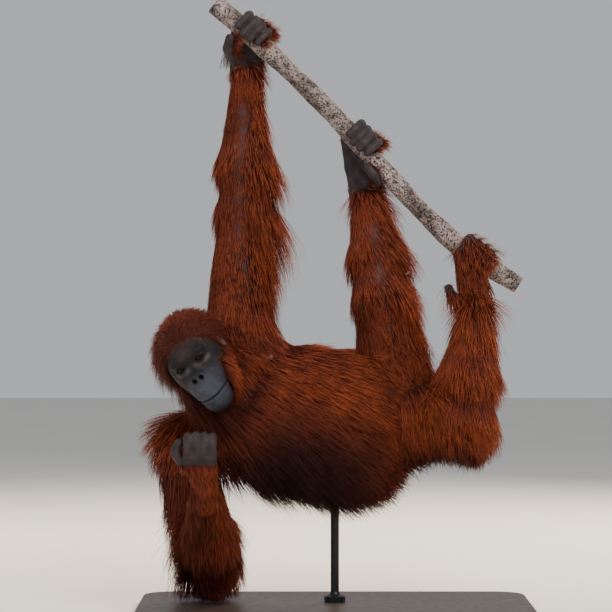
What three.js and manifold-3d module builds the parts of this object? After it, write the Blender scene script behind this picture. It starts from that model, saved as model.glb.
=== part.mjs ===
import * as THREE from "three";
import { mergeVertices } from "three/addons/utils/BufferGeometryUtils.js";
import Module from "manifold-3d";

// A life-size female orangutan that hangs from a slanting branch by its left hand and both feet,
// its head and chest turned to the front and its right hand raised to the chin, on a display stand.
// Millimetres, +Z up, front is -Y. The origin is the centre of the stand's underside.

const wasm = await Module();
wasm.setup();

const point = (x, y, z) => new THREE.Vector3(x, y, z);

// Clearance between neighbouring solids, and how far a simpler surface may lie from the full one
const GAP = 0.3;
const TOLERANCE = { body: 1.6, face: 0.5, digit: 0.35, sliver: 0.02 };

// Stand and perch sizes
const BASE = { length: 984, width: 524, thickness: 22, corner: 70, bevel: 3 };
const BODY_ROD = { at: point(0, 40, 0), radius: 11, top: 345, collar: 27, collarHeight: 14 };
const BRANCH_RADIUS = 24;
const BRANCH_ROUTE = [
  point(-300, 2, 1520),
  point(-215, 0, 1447),
  point(-20, 0, 1260),
  point(125, 0, 1103),
  point(228, 0, 992),
  point(342, 0, 888),
  point(398, 0, 855),
  point(458, 0, 818),
];

// Joints of the skeleton, which place every limb
const SHOULDER_LEFT = point(-252, 50, 712);
const ELBOW_LEFT = point(-240, 66, 1010);
const WRIST_LEFT = point(-226, 42, 1352);
const SHOULDER_RIGHT = point(-372, 50, 425);
const ELBOW_RIGHT = point(-308, 30, 138);
const WRIST_RIGHT = point(-322, -175, 333);
const HIP_LEFT = point(140, 30, 560);
const KNEE_LEFT = point(106, -20, 803);
const ANKLE_LEFT = point(76, 40, 1040);
const HIP_RIGHT = point(112, 45, 515);
const KNEE_RIGHT = point(312, -80, 496);
const ANKLE_RIGHT = point(350, -14, 765);
const NECK_BASE = point(-252, 15, 572);
const HEAD_BASE = point(-306, -58, 592);
const HEAD_CENTRE = point(-341, -112, 640);

// The head's turn, in degrees: lean to the side, chin down and look to the animal's right
const HEAD_LEAN = 35;
const HEAD_DOWN = 10;
const HEAD_LOOK = 15;

// Solids from meshes and back
function solidFrom(positions, triangles) {
  const make = (order) =>
    new wasm.Manifold(
      new wasm.Mesh({ numProp: 3, vertProperties: positions, triVerts: order }),
    );
  const made = make(triangles);
  if (made.volume() > 0) return made;
  const turned = triangles.slice();
  for (let i = 0; i < turned.length; i += 3)
    [turned[i + 1], turned[i + 2]] = [turned[i + 2], turned[i + 1]];
  return make(turned);
}

function solidOf(geometry) {
  const bare = geometry.index ? geometry.toNonIndexed() : geometry.clone();
  bare.deleteAttribute("normal");
  bare.deleteAttribute("uv");
  const merged = mergeVertices(bare, 1e-3);
  const order = merged.index.array;
  const kept = [];
  for (let i = 0; i < order.length; i += 3) {
    const [a, b, c] = order.slice(i, i + 3);
    if (a !== b && b !== c && c !== a) kept.push(a, b, c);
  }
  return solidFrom(merged.attributes.position.array, new Uint32Array(kept));
}

function geometryOf(solid) {
  const mesh = solid.getMesh();
  return new THREE.BufferGeometry()
    .setAttribute("position", new THREE.BufferAttribute(mesh.vertProperties, 3))
    .setIndex(new THREE.BufferAttribute(mesh.triVerts, 1));
}

const joined = (solids) => solids.reduce((whole, piece) => whole.add(piece));

function largest(solid) {
  const pieces = solid.decompose();
  return pieces.reduce((best, piece) => (piece.volume() > best.volume() ? piece : best));
}

// The same solid with its surface moved out by a distance
function grown(solid, distance) {
  const geometry = geometryOf(solid);
  geometry.computeVertexNormals();
  const place = geometry.attributes.position;
  const normal = geometry.attributes.normal;
  const moved = new Float32Array(place.array.length);
  for (let i = 0; i < moved.length; i++)
    moved[i] = place.array[i] + distance * normal.array[i];
  return solidFrom(moved, new Uint32Array(geometry.index.array));
}

// A closed skin through rings of points; an end ring is closed by a fan from its middle
function shell(rings) {
  const sides = rings[0].length;
  const middle = (ring) =>
    ring.reduce((sum, p) => sum.add(p), point(0, 0, 0)).multiplyScalar(1 / sides);
  const points = [...rings.flat(), middle(rings[0]), middle(rings.at(-1))];
  const first = rings.length * sides;
  const triangles = [];
  for (let r = 0; r + 1 < rings.length; r++)
    for (let s = 0; s < sides; s++) {
      const a = r * sides + s;
      const b = r * sides + ((s + 1) % sides);
      triangles.push(a, b, b + sides, a, b + sides, a + sides);
    }
  const end = first - sides;
  for (let s = 0; s < sides; s++) {
    const next = (s + 1) % sides;
    triangles.push(next, s, first, end + s, end + next, first + 1);
  }
  return solidFrom(
    new Float32Array(points.flatMap((p) => [p.x, p.y, p.z])),
    new Uint32Array(triangles),
  );
}

// A round tube with rounded ends along a curve; radius is a function of the share of its length
function tube(route, radius, sides, steps, flatness = 1) {
  const curve = route instanceof THREE.Curve ? route : new THREE.CatmullRomCurve3(route);
  const frames = curve.computeFrenetFrames(steps);
  const rings = [];
  for (let i = 0; i <= steps; i++) {
    const centre = curve.getPointAt(i / steps);
    const size = radius(i / steps);
    rings.push(
      Array.from({ length: sides }, (_, s) => {
        const angle = (2 * Math.PI * s) / sides;
        return centre
          .clone()
          .addScaledVector(frames.normals[i], Math.cos(angle) * size)
          .addScaledVector(frames.binormals[i], Math.sin(angle) * size * flatness);
      }),
    );
  }
  return shell(rings);
}

// Distance fields of the flesh
function cone(a, b, ra, rb) {
  const axis = b.clone().sub(a);
  const along = (p) => THREE.MathUtils.clamp(p.clone().sub(a).dot(axis) / axis.lengthSq(), 0, 1);
  const field = (p) => {
    const t = along(p);
    return p.distanceTo(a.clone().addScaledVector(axis, t)) - ra - (rb - ra) * t;
  };
  const reach = Math.max(ra, rb);
  field.box = new THREE.Box3().setFromPoints([a, b]).expandByScalar(reach);
  return field;
}

function ellipsoid(centre, rx, ry, rz, turn = new THREE.Quaternion()) {
  const back = turn.clone().invert();
  const field = (p) => {
    const q = p.clone().sub(centre).applyQuaternion(back);
    const k0 = Math.hypot(q.x / rx, q.y / ry, q.z / rz);
    const k1 = Math.hypot(q.x / rx ** 2, q.y / ry ** 2, q.z / rz ** 2);
    return k1 < 1e-9 ? -Math.min(rx, ry, rz) : (k0 * (k0 - 1)) / k1;
  };
  field.box = new THREE.Box3().setFromPoints([centre]).expandByScalar(Math.max(rx, ry, rz));
  return field;
}

// A soft union; softness is the radius of the fillets
const soft = (fields, softness) => (p) =>
  -softness * Math.log(fields.reduce((sum, f) => sum + Math.exp(-f(p) / softness), 0));

function slopeOf(field, p) {
  const h = 0.5;
  const step = (dx, dy, dz) =>
    field(point(p.x + dx, p.y + dy, p.z + dz)) - field(point(p.x - dx, p.y - dy, p.z - dz));
  return point(step(h, 0, 0), step(0, h, 0), step(0, 0, h)).multiplyScalar(0.5 / h);
}

// Evenly spaced grid lines, or lines whose spacing grows away from the first end
function lines(low, high, spacing, growth = 1) {
  const places = [low];
  for (let step = spacing; places.at(-1) < high; step *= growth)
    places.push(places.at(-1) + step);
  return places;
}

// The skin of a field as one vertex in each grid cell that the surface crosses
function skinOf(field, xs, ys, zs, tolerance) {
  const nx = xs.length;
  const ny = ys.length;
  const nz = zs.length;
  const at = (i, j, k) => i + nx * (j + ny * k);
  const values = new Float64Array(nx * ny * nz);
  for (let k = 0; k < nz; k++)
    for (let j = 0; j < ny; j++)
      for (let i = 0; i < nx; i++) {
        const rim = !i || !j || !k || i === nx - 1 || j === ny - 1 || k === nz - 1;
        values[at(i, j, k)] = rim ? 1 : field(point(xs[i], ys[j], zs[k])) || 1e-6;
      }
  const corners = [0, 1, 2, 3, 4, 5, 6, 7].map((c) => [c & 1, (c >> 1) & 1, c >> 2]);
  const edges = [];
  for (let a = 0; a < 8; a++)
    for (const bit of [1, 2, 4]) if (!(a & bit)) edges.push([a, a | bit]);
  const vertexOf = new Map();
  const positions = [];
  for (let k = 0; k + 1 < nz; k++)
    for (let j = 0; j + 1 < ny; j++)
      for (let i = 0; i + 1 < nx; i++) {
        const value = corners.map(([a, b, c]) => values[at(i + a, j + b, k + c)]);
        const place = corners.map(([a, b, c]) => point(xs[i + a], ys[j + b], zs[k + c]));
        const crossings = edges
          .filter(([a, b]) => value[a] < 0 !== value[b] < 0)
          .map(([a, b]) => place[a].clone().lerp(place[b], value[a] / (value[a] - value[b])));
        if (!crossings.length) continue;
        const vertex = crossings
          .reduce((sum, p) => sum.add(p), point(0, 0, 0))
          .multiplyScalar(1 / crossings.length);
        for (let turn = 0; turn < 2; turn++) {
          const slope = slopeOf(field, vertex);
          vertex.addScaledVector(slope, -field(vertex) / Math.max(slope.lengthSq(), 0.25));
          vertex.clamp(place[0], place[7]);
        }
        vertexOf.set(at(i, j, k), positions.length / 3);
        positions.push(vertex.x, vertex.y, vertex.z);
      }
  const corner = (v) => point(...positions.slice(3 * v, 3 * v + 3));
  const triangles = [];
  const strides = [[1, 0, 0], [0, 1, 0], [0, 0, 1]];
  for (let k = 0; k + 1 < nz; k++)
    for (let j = 0; j + 1 < ny; j++)
      for (let i = 0; i + 1 < nx; i++)
        strides.forEach(([a, b, c], axis) => {
          const here = values[at(i, j, k)] < 0;
          if (here === values[at(i + a, j + b, k + c)] < 0) return;
          const [u, v] = [strides[(axis + 1) % 3], strides[(axis + 2) % 3]];
          const cell = (m, n) =>
            vertexOf.get(at(i - m * u[0] - n * v[0], j - m * u[1] - n * v[1], k - m * u[2] - n * v[2]));
          const quad = [cell(0, 0), cell(1, 0), cell(1, 1), cell(0, 1)];
          if (here) quad.reverse();
          const [p, q, r, s] = quad;
          const split = corner(p).distanceTo(corner(r)) <= corner(q).distanceTo(corner(s));
          triangles.push(...(split ? [p, q, r, p, r, s] : [q, r, s, q, s, p]));
        });
  return solidFrom(new Float32Array(positions), new Uint32Array(triangles)).simplify(tolerance);
}

// A cylinder that starts at a joint and holds the limb beyond it
function gate(at, direction, reach, radius, grow = 0) {
  const wide = radius + grow;
  const box = new THREE.CylinderGeometry(wide, wide, reach + 2 * grow, 20).rotateX(Math.PI / 2);
  box.applyQuaternion(new THREE.Quaternion().setFromUnitVectors(point(0, 0, 1), direction));
  const centre = at.clone().addScaledVector(direction, reach / 2);
  return solidOf(box.translate(centre.x, centre.y, centre.z));
}

// The cut across a joint halves the angle between the two limbs that meet there
const halfway = (a, b, c) =>
  b.clone().sub(a).normalize().add(c.clone().sub(b).normalize()).normalize();

// Head frame: local +X is the animal's left, -Y its face, +Z its crown
const headTurn = new THREE.Quaternion()
  .setFromAxisAngle(point(0, 1, 0), -THREE.MathUtils.degToRad(HEAD_LEAN))
  .multiply(new THREE.Quaternion().setFromAxisAngle(point(0, 0, 1), -THREE.MathUtils.degToRad(HEAD_LOOK)))
  .multiply(new THREE.Quaternion().setFromAxisAngle(point(1, 0, 0), THREE.MathUtils.degToRad(HEAD_DOWN)));
const toWorld = (p) => p.clone().applyQuaternion(headTurn).add(HEAD_CENTRE);
const toHead = (p) => p.clone().sub(HEAD_CENTRE).applyQuaternion(headTurn.clone().invert());
const headMatrix = new THREE.Matrix4().compose(HEAD_CENTRE, headTurn, point(1, 1, 1));
const inWorld = (solid) => solid.transform(headMatrix.elements);

// Face sizes in the head frame
const EYE = { side: 29, front: -67, height: 8, radius: 12, lid: 15.5, wide: 11.5, high: 5.5 };
const NOSTRIL = { side: 9.5, front: -97, height: -28 };
const MOUTH = { front: -72, height: -88, thick: 2 };
const EAR = { side: 90, front: 14, height: 4, tall: 24, wide: 15, thick: 7 };

const faceFlesh = [
  ellipsoid(point(0, 12, 22), 66, 80, 74),
  ellipsoid(point(0, -48, 26), 46, 24, 20),
  ellipsoid(point(0, -44, -12), 46, 26, 44),
  ellipsoid(point(36, -30, -38), 26, 34, 42),
  ellipsoid(point(-36, -30, -38), 26, 34, 42),
  ellipsoid(point(0, -68, -58), 42, 39, 38),
  ellipsoid(point(0, -60, -104), 37, 34, 31),
  ellipsoid(point(0, -16, -78), 44, 52, 40),
  ellipsoid(point(0, -82, -30), 13, 13, 14),
  ellipsoid(point(40, -28, 2), 27, 26, 46),
  ellipsoid(point(-40, -28, 2), 27, 26, 46),
];
const hairCap = [
  ellipsoid(point(0, 32, 24), 87, 84, 90),
  ellipsoid(point(0, 20, -36), 80, 62, 64),
  ellipsoid(point(16, -30, -108), 46, 34, 42),
];
const headField = soft([...faceFlesh, ...hairCap], 7);

// Flesh of each body node, as round cones and ellipsoids, and the nodes that it meets
const flesh = {
  torso: [
    ellipsoid(point(-170, 25, 507), 138, 118, 162),
    ellipsoid(point(-12, 8, 482), 186, 134, 166),
    ellipsoid(point(128, 38, 500), 104, 94, 92),
    cone(point(-215, 40, 640), SHOULDER_LEFT, 84, 66),
    cone(point(-235, 40, 470), SHOULDER_RIGHT, 84, 58),
  ],
  neck: [cone(NECK_BASE, HEAD_BASE, 78, 70)],
  upper_arm_left: [cone(SHOULDER_LEFT, ELBOW_LEFT, 64, 47)],
  forearm_left: [
    cone(ELBOW_LEFT, ELBOW_LEFT.clone().lerp(WRIST_LEFT, 0.35), 44, 48),
    cone(ELBOW_LEFT.clone().lerp(WRIST_LEFT, 0.35), WRIST_LEFT, 48, 29),
  ],
  upper_arm_right: [cone(SHOULDER_RIGHT, ELBOW_RIGHT, 56, 44)],
  forearm_right: [
    cone(ELBOW_RIGHT, ELBOW_RIGHT.clone().lerp(WRIST_RIGHT, 0.35), 43, 47),
    cone(ELBOW_RIGHT.clone().lerp(WRIST_RIGHT, 0.35), WRIST_RIGHT, 47, 29),
  ],
  thigh_left: [cone(HIP_LEFT, KNEE_LEFT, 78, 52)],
  shank_left: [
    cone(KNEE_LEFT, KNEE_LEFT.clone().lerp(ANKLE_LEFT, 0.4), 50, 48),
    cone(KNEE_LEFT.clone().lerp(ANKLE_LEFT, 0.4), ANKLE_LEFT, 48, 31),
  ],
  thigh_right: [cone(HIP_RIGHT, KNEE_RIGHT, 82, 58)],
  shank_right: [
    cone(KNEE_RIGHT, KNEE_RIGHT.clone().lerp(ANKLE_RIGHT, 0.4), 55, 50),
    cone(KNEE_RIGHT.clone().lerp(ANKLE_RIGHT, 0.4), ANKLE_RIGHT, 50, 32),
  ],
};
const meets = {
  torso: ["neck", "upper_arm_left", "upper_arm_right", "thigh_left", "thigh_right"],
  neck: ["torso"],
  upper_arm_left: ["torso", "forearm_left"],
  forearm_left: ["upper_arm_left"],
  upper_arm_right: ["torso", "forearm_right"],
  forearm_right: ["upper_arm_right"],
  thigh_left: ["torso", "shank_left"],
  shank_left: ["thigh_left"],
  thigh_right: ["torso", "shank_right"],
  shank_right: ["thigh_right"],
};
const SOFTNESS = 12;

// The coat is one smooth form: it stands out of the flesh by its depth, and by more where it hangs
const COAT_DEPTH = 20;
const beside = (joint, x, y, z) => joint.clone().add(point(x, y, z));
const fringe = {
  torso: [ellipsoid(point(-65, 10, 440), 168, 86, 168)],
  upper_arm_left: [cone(beside(SHOULDER_LEFT, 36, 0, 0), beside(ELBOW_LEFT, 30, 0, -20), 60, 46)],
  forearm_left: [cone(beside(ELBOW_LEFT, 30, 0, -20), beside(WRIST_LEFT, 2, 0, -90), 46, 26)],
  upper_arm_right: [cone(beside(SHOULDER_RIGHT, -12, 0, -20), beside(ELBOW_RIGHT, -4, 0, 0), 60, 54)],
  thigh_left: [cone(beside(HIP_LEFT, 30, -8, 40), beside(KNEE_LEFT, 24, 0, -10), 58, 46)],
  shank_left: [cone(beside(KNEE_LEFT, 24, 0, -10), beside(ANKLE_LEFT, 6, 0, -60), 46, 30)],
  shank_right: [cone(beside(KNEE_RIGHT, 28, 6, 60), beside(ANKLE_RIGHT, 20, 4, -20), 48, 32)],
};
function fieldOf(name) {
  const near = [name, ...meets[name]];
  const forms = near.flatMap((other) => [...flesh[other], ...(fringe[other] ?? [])]);
  const core = soft(forms, SOFTNESS);
  return (p) => core(p) - COAT_DEPTH;
}

// Where each node starts, which way it runs on, and how far and wide it may reach
const gates = {
  neck: [point(-256, 2, 578), point(-0.62, -0.76, 0.16).normalize(), 400, 124],
  head: [point(-292, -42, 590), point(-0.62, -0.76, 0.16).normalize(), 460, 230],
  upper_arm_left: [point(-250, 50, 742), halfway(NECK_BASE, SHOULDER_LEFT, ELBOW_LEFT), 700, 200],
  forearm_left: [ELBOW_LEFT, halfway(SHOULDER_LEFT, ELBOW_LEFT, WRIST_LEFT), 600, 200],
  hand_left: [WRIST_LEFT, point(0.02, -0.06, 1).normalize(), 300, 160],
  upper_arm_right: [point(-364, 50, 384), point(0.15, 0, -0.99).normalize(), 500, 150],
  forearm_right: [ELBOW_RIGHT, halfway(SHOULDER_RIGHT, ELBOW_RIGHT, WRIST_RIGHT), 600, 330],
  hand_right: [WRIST_RIGHT, point(0, -0.35, 0.94).normalize(), 200, 110],
  thigh_left: [point(136, 28, 622), point(-0.05, 0, 1).normalize(), 700, 128],
  shank_left: [KNEE_LEFT, halfway(HIP_LEFT, KNEE_LEFT, ANKLE_LEFT), 600, 180],
  foot_left: [ANKLE_LEFT, point(-0.1, 0, 1).normalize(), 300, 150],
  thigh_right: [point(196, -2, 508), point(0.86, -0.5, -0.06).normalize(), 400, 190],
  shank_right: [KNEE_RIGHT, halfway(HIP_RIGHT, KNEE_RIGHT, ANKLE_RIGHT), 600, 260],
  foot_right: [ANKLE_RIGHT, point(0, -0.12, 1).normalize(), 300, 140],
};
const carries = {
  torso: ["neck", "upper_arm_left", "upper_arm_right", "thigh_left", "thigh_right"],
  neck: ["head"],
  upper_arm_left: ["forearm_left"],
  forearm_left: ["hand_left"],
  upper_arm_right: ["forearm_right"],
  forearm_right: ["hand_right"],
  thigh_left: ["shank_left"],
  shank_left: ["foot_left"],
  thigh_right: ["shank_right"],
  shank_right: ["foot_right"],
};

// A node's solid between its own gate and the gates of what it carries
function parted(name, solid) {
  let piece = solid;
  if (gates[name]) piece = piece.intersect(gate(...gates[name]));
  for (const child of carries[name] ?? []) piece = piece.subtract(gate(...gates[child], GAP));
  return largest(piece);
}

function bodyNode(name, cell) {
  const field = fieldOf(name);
  const box = new THREE.Box3();
  for (const part of [...flesh[name], ...(fringe[name] ?? [])]) box.union(part.box);
  box.expandByScalar(2.2 * cell + COAT_DEPTH);
  const grid = ["x", "y", "z"].map((axis) => lines(box.min[axis], box.max[axis], cell));
  return parted(name, skinOf(field, ...grid, TOLERANCE.body));
}

// A ball squashed along the head's own axes, placed in the head frame
function ball(centre, rx, ry, rz, wide = 14, high = 10) {
  const geometry = new THREE.SphereGeometry(1, wide, high).scale(rx, ry, rz);
  return solidOf(geometry.translate(centre.x, centre.y, centre.z));
}

// The opening between the lids, as an almond that runs forward from the eye
function lidOpening(side) {
  const { wide, high } = EYE;
  const almond = new THREE.Shape();
  almond.moveTo(-wide, 0);
  almond.quadraticCurveTo(0, 2 * high, wide, 0);
  almond.quadraticCurveTo(0, -2 * high, -wide, 0);
  const prism = new THREE.ExtrudeGeometry(almond, {
    depth: 2 * EYE.lid, bevelEnabled: false, curveSegments: 6,
  });
  prism.rotateX(Math.PI / 2);
  return solidOf(prism.translate(side * EYE.side, EYE.front, EYE.height));
}

// The groove of the mouth: a thin bent ring round the front of the muzzle
function mouthGroove() {
  const disc = new THREE.SphereGeometry(1, 36, 8).scale(44, 42, MOUTH.thick);
  const place = disc.attributes.position;
  for (let i = 0; i < place.count; i++)
    place.setZ(i, place.getZ(i) + 0.004 * place.getX(i) ** 2);
  const ring = solidOf(disc.translate(0, MOUTH.front, MOUTH.height));
  const inner = ball(point(0, MOUTH.front + 4, MOUTH.height), 31, 29, 30, 24, 12);
  const behind = ball(point(0, MOUTH.front + 48, MOUTH.height), 70, 46, 40, 16, 10);
  return ring.subtract(inner).subtract(behind);
}

function eye(side) {
  return ball(point(side * EYE.side, EYE.front + 4, EYE.height), EYE.radius, EYE.radius, EYE.radius);
}

// A shallow cup with a rim, its back sunk in the coat
function ear(side) {
  const cup = ball(point(side * EAR.side, EAR.front, EAR.height), EAR.thick, EAR.wide, EAR.tall, 12, 8);
  const hollow = ball(
    point(side * (EAR.side + EAR.thick), EAR.front - 2, EAR.height + 1),
    EAR.thick * 0.8, EAR.wide * 0.66, EAR.tall * 0.68, 10, 8,
  );
  return cup.subtract(hollow);
}

function headNode() {
  const xs = lines(5, 130, 10, 1.08);
  const across = [...xs.map((x) => -x).reverse(), ...xs];
  const ys = lines(-124, 138, 10, 1.06);
  const zs = lines(-162, 140, 11.5);
  let head = skinOf(headField, across, ys, zs, TOLERANCE.face);
  for (const side of [-1, 1]) {
    head = head.add(
      ball(point(side * EYE.side, EYE.front + 3, EYE.height), EYE.lid, EYE.lid * 0.92, EYE.lid * 0.86),
    );
    const wing = ball(point(side * NOSTRIL.side, NOSTRIL.front + 6, NOSTRIL.height + 1), 9, 9, 9, 10, 8);
    head = head.add(wing);
  }
  for (const side of [-1, 1]) {
    head = head.subtract(lidOpening(side));
    const socket = EYE.radius + GAP;
    head = head.subtract(
      ball(point(side * EYE.side, EYE.front + 4, EYE.height), socket, socket, socket),
    );
    head = head.subtract(
      ball(point(side * NOSTRIL.side, NOSTRIL.front - 2, NOSTRIL.height - 2), 5, 8, 5.5, 10, 8),
    );
  }
  head = head.subtract(mouthGroove());
  return inWorld(head);
}

// The branch, with the swellings of old knots
const branchCurve = new THREE.CatmullRomCurve3(BRANCH_ROUTE);
const branchRadius = (t) => BRANCH_RADIUS + 1.3 * Math.sin(17 * t) + 1.2 * Math.sin(41 * t + 1);
const branch = (extra = 0) => tube(branchCurve, (t) => branchRadius(t) + extra, 12, 20);

// Digits that wrap over the branch: turn 0 is behind it, 90 above and 180 in front
function wrap(centre, along, offset, fromTurn, toTurn, radius) {
  const over = along.clone().cross(point(0, 1, 0)).normalize();
  const up = over.z > 0 ? over : over.negate();
  const count = 6;
  const route = Array.from({ length: count + 1 }, (_, i) => {
    const turn = THREE.MathUtils.degToRad(fromTurn + ((toTurn - fromTurn) * i) / count);
    const reach = BRANCH_RADIUS + 2.6 + radius;
    return centre
      .clone()
      .addScaledVector(along, offset)
      .addScaledVector(point(0, 1, 0), Math.cos(turn) * reach)
      .addScaledVector(up, Math.sin(turn) * reach);
  });
  return route;
}

const digitRadius = (size) => (t) =>
  size * (t < 0.01 || t > 0.99 ? 0.5 : 1 + 0.1 * Math.cos(6 * Math.PI * t) - 0.16 * t);
const digit = (route, size) => tube(route, digitRadius(size), 6, 7);

const DIGIT = { hand: 11.5, foot: 12, spacing: 21.5, thumb: 11 };
function gripAt(centre) {
  const distance = (t) => branchCurve.getPointAt(t).distanceTo(centre);
  let best = 0;
  for (let t = 0; t <= 1; t += 0.002) if (distance(t) < distance(best)) best = t;
  return { centre: branchCurve.getPointAt(best), along: branchCurve.getTangentAt(best) };
}

// A hand or foot that holds the branch; behind is 1 with the palm at the back, -1 at the front
function grip(ankle, centre, behind, size, lean, padWidth, knuckles) {
  const { centre: middle, along } = gripAt(centre);
  const pieces = [];
  const start = behind > 0 ? -28 : 208;
  const end = behind > 0 ? 205 : -20;
  for (let k = 0; k < 4; k++) {
    const offset = (k - 1.5) * DIGIT.spacing + lean;
    const finish = end + (behind > 0 ? -8 : 8) * Math.abs(k - 1.3);
    pieces.push(digit(wrap(middle, along, offset, start, finish, size), size));
  }
  const back = BRANCH_RADIUS + 16;
  const palmTop = middle.clone().addScaledVector(along, lean).add(point(0, behind * back, 6));
  const palm = new THREE.CatmullRomCurve3([
    ankle.clone().add(point(0, 0, -14)),
    ankle.clone().lerp(palmTop, 0.35),
    ankle.clone().lerp(palmTop, 0.75),
    palmTop,
  ]);
  const widen = (t) => 30 + (padWidth - 30) * Math.min(1, 1.6 * t);
  const rings = [];
  for (let i = 0; i <= 6; i++) {
    const t = i / 6;
    const at = palm.getPointAt(t);
    const side = point(1, 0, 0).lerp(along, Math.min(1, 1.3 * t)).normalize();
    const course = palm.getTangentAt(t);
    const out = side.clone().cross(course).normalize();
    const w = widen(t) * (i === 6 ? 0.72 : 1);
    const d = (30 - 12 * Math.min(1, 1.4 * t)) * (i === 6 ? 0.6 : 1);
    rings.push(
      Array.from({ length: 12 }, (_, s) => {
        const angle = (2 * Math.PI * s) / 12;
        return at
          .clone()
          .addScaledVector(side, Math.cos(angle) * w)
          .addScaledVector(out, Math.sin(angle) * d);
      }),
    );
  }
  pieces.push(shell(rings));
  pieces.push(digit(knuckles, DIGIT.thumb));
  return joined(pieces).simplify(TOLERANCE.digit).subtract(branch(GAP + 0.2));
}

const handLeft = () =>
  grip(WRIST_LEFT, point(-213, 0, 1446), 1, DIGIT.hand, 4, 46, [
    point(-246, 30, 1378), point(-262, 4, 1392), point(-268, -22, 1410), point(-262, -34, 1432),
  ]);
const footLeft = () =>
  grip(ANKLE_LEFT, point(60, 0, 1173), 1, DIGIT.foot, 0, 45, [
    point(92, 30, 1068), point(104, 2, 1076), point(96, -22, 1092), point(78, -30, 1112),
  ]);
const footRight = () =>
  grip(ANKLE_RIGHT, point(342, 0, 888), -1, DIGIT.foot, 0, 45, [
    point(322, -20, 778), point(302, -32, 782), point(288, -40, 794), point(282, -42, 810),
  ]);

// The right hand: a loose fist held up, its fingers bent over at the top
function handRight() {
  const pieces = [];
  const knuckle = point(-328, -214, 412);
  const rings = [];
  const palm = new THREE.CatmullRomCurve3([
    WRIST_RIGHT.clone().add(point(0, 4, -14)),
    WRIST_RIGHT.clone().lerp(knuckle, 0.4),
    knuckle,
    knuckle.clone().add(point(0, 2, 12)),
  ]);
  for (let i = 0; i <= 6; i++) {
    const t = i / 6;
    const at = palm.getPointAt(t);
    const course = palm.getTangentAt(t);
    const side = point(1, 0, 0);
    const out = side.clone().cross(course).normalize();
    const w = (30 + 12 * Math.min(1, 1.6 * t)) * (i === 6 ? 0.8 : 1);
    const d = (29 - 8 * t) * (i === 6 ? 0.7 : 1);
    rings.push(
      Array.from({ length: 12 }, (_, s) => {
        const angle = (2 * Math.PI * s) / 12;
        return at
          .clone()
          .addScaledVector(side, Math.cos(angle) * w)
          .addScaledVector(out, Math.sin(angle) * d);
      }),
    );
  }
  pieces.push(shell(rings));
  for (let k = 0; k < 4; k++) {
    const x = knuckle.x + (k - 1.5) * 19.5;
    const short = 3 * Math.abs(k - 1.4);
    pieces.push(
      digit(
        [
          point(x, -216, 402),
          point(x, -224, 428 - short),
          point(x, -216, 449 - short),
          point(x, -196, 455 - short),
          point(x, -178, 444 - short),
          point(x, -174, 424),
          point(x, -184, 408),
        ],
        DIGIT.hand,
      ),
    );
  }
  pieces.push(
    digit(
      [point(-356, -190, 378), point(-378, -200, 396), point(-388, -204, 416), point(-380, -200, 434)],
      DIGIT.thumb,
    ),
  );
  return joined(pieces).simplify(TOLERANCE.digit);
}

// Stand
function standBase() {
  const { length, width, corner, bevel, thickness } = BASE;
  const w = length / 2 - bevel;
  const h = width / 2 - bevel;
  const outline = new THREE.Shape();
  outline.moveTo(-w + corner, -h);
  outline.lineTo(w - corner, -h);
  outline.absarc(w - corner, -h + corner, corner, -Math.PI / 2, 0);
  outline.absarc(w - corner, h - corner, corner, 0, Math.PI / 2);
  outline.absarc(-w + corner, h - corner, corner, Math.PI / 2, Math.PI);
  outline.absarc(-w + corner, -h + corner, corner, Math.PI, 1.5 * Math.PI);
  const plate = new THREE.ExtrudeGeometry(outline, {
    depth: thickness - 2 * bevel,
    bevelSize: bevel, bevelThickness: bevel, bevelSegments: 1, curveSegments: 3,
  });
  return solidOf(plate.translate(0, 0, bevel));
}

function rod({ at, radius, top, collar, collarHeight }, extra = 0) {
  const foot = BASE.thickness + GAP - extra;
  const profile = [
    [0, foot],
    [collar + extra, foot],
    [collar + extra, foot + collarHeight],
    [radius + extra + 3, foot + collarHeight + 5],
    [radius + extra, foot + collarHeight + 12],
    [radius + extra, top + extra],
    [0, top + extra],
  ].map(([x, y]) => new THREE.Vector2(x, y));
  const turned = new THREE.LatheGeometry(profile, 14).rotateX(Math.PI / 2);
  return solidOf(turned.translate(at.x, at.y, 0));
}

// Materials
const finish = (colour, roughness, metalness = 0) =>
  new THREE.MeshStandardMaterial({ color: colour, roughness, metalness });
const red = finish(0x8a3a1e, 0.85);
const dark = finish(0x3a2c2c, 0.6);
const looks = {
  head: red, neck: red, torso: red,
  ear_left: dark, ear_right: dark,
  eye_left: finish(0x2a1608, 0.1), eye_right: finish(0x2a1608, 0.1),
  hand_left: dark, hand_right: dark, foot_left: dark, foot_right: dark,
  perch_branch: finish(0x9a8d84, 0.9),
  stand_base: finish(0x2b2622, 0.5),
  stand_rod_body: finish(0x8c8c90, 0.35, 1),
};

// Assembly
const cells = {
  torso: 38, neck: 32, upper_arm_left: 30, forearm_left: 28, upper_arm_right: 30, forearm_right: 28,
  thigh_left: 32, shank_left: 28, thigh_right: 34, shank_right: 30,
};
const solids = {};
for (const [name, cell] of Object.entries(cells)) solids[name] = bodyNode(name, cell);
solids.head = parted("head", headNode());
for (const [side, name] of [[1, "left"], [-1, "right"]]) {
  solids["eye_" + name] = inWorld(eye(side));
  solids["ear_" + name] = largest(inWorld(ear(side)).subtract(grown(solids.head, GAP)));
}
solids.hand_left = parted("hand_left", handLeft());
solids.hand_right = parted("hand_right", handRight());
solids.foot_left = parted("foot_left", footLeft());
solids.foot_right = parted("foot_right", footRight());
solids.stand_base = standBase();
solids.stand_rod_body = rod(BODY_ROD);
solids.torso = largest(solids.torso.subtract(rod(BODY_ROD, GAP)));
solids.perch_branch = branch();

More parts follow.
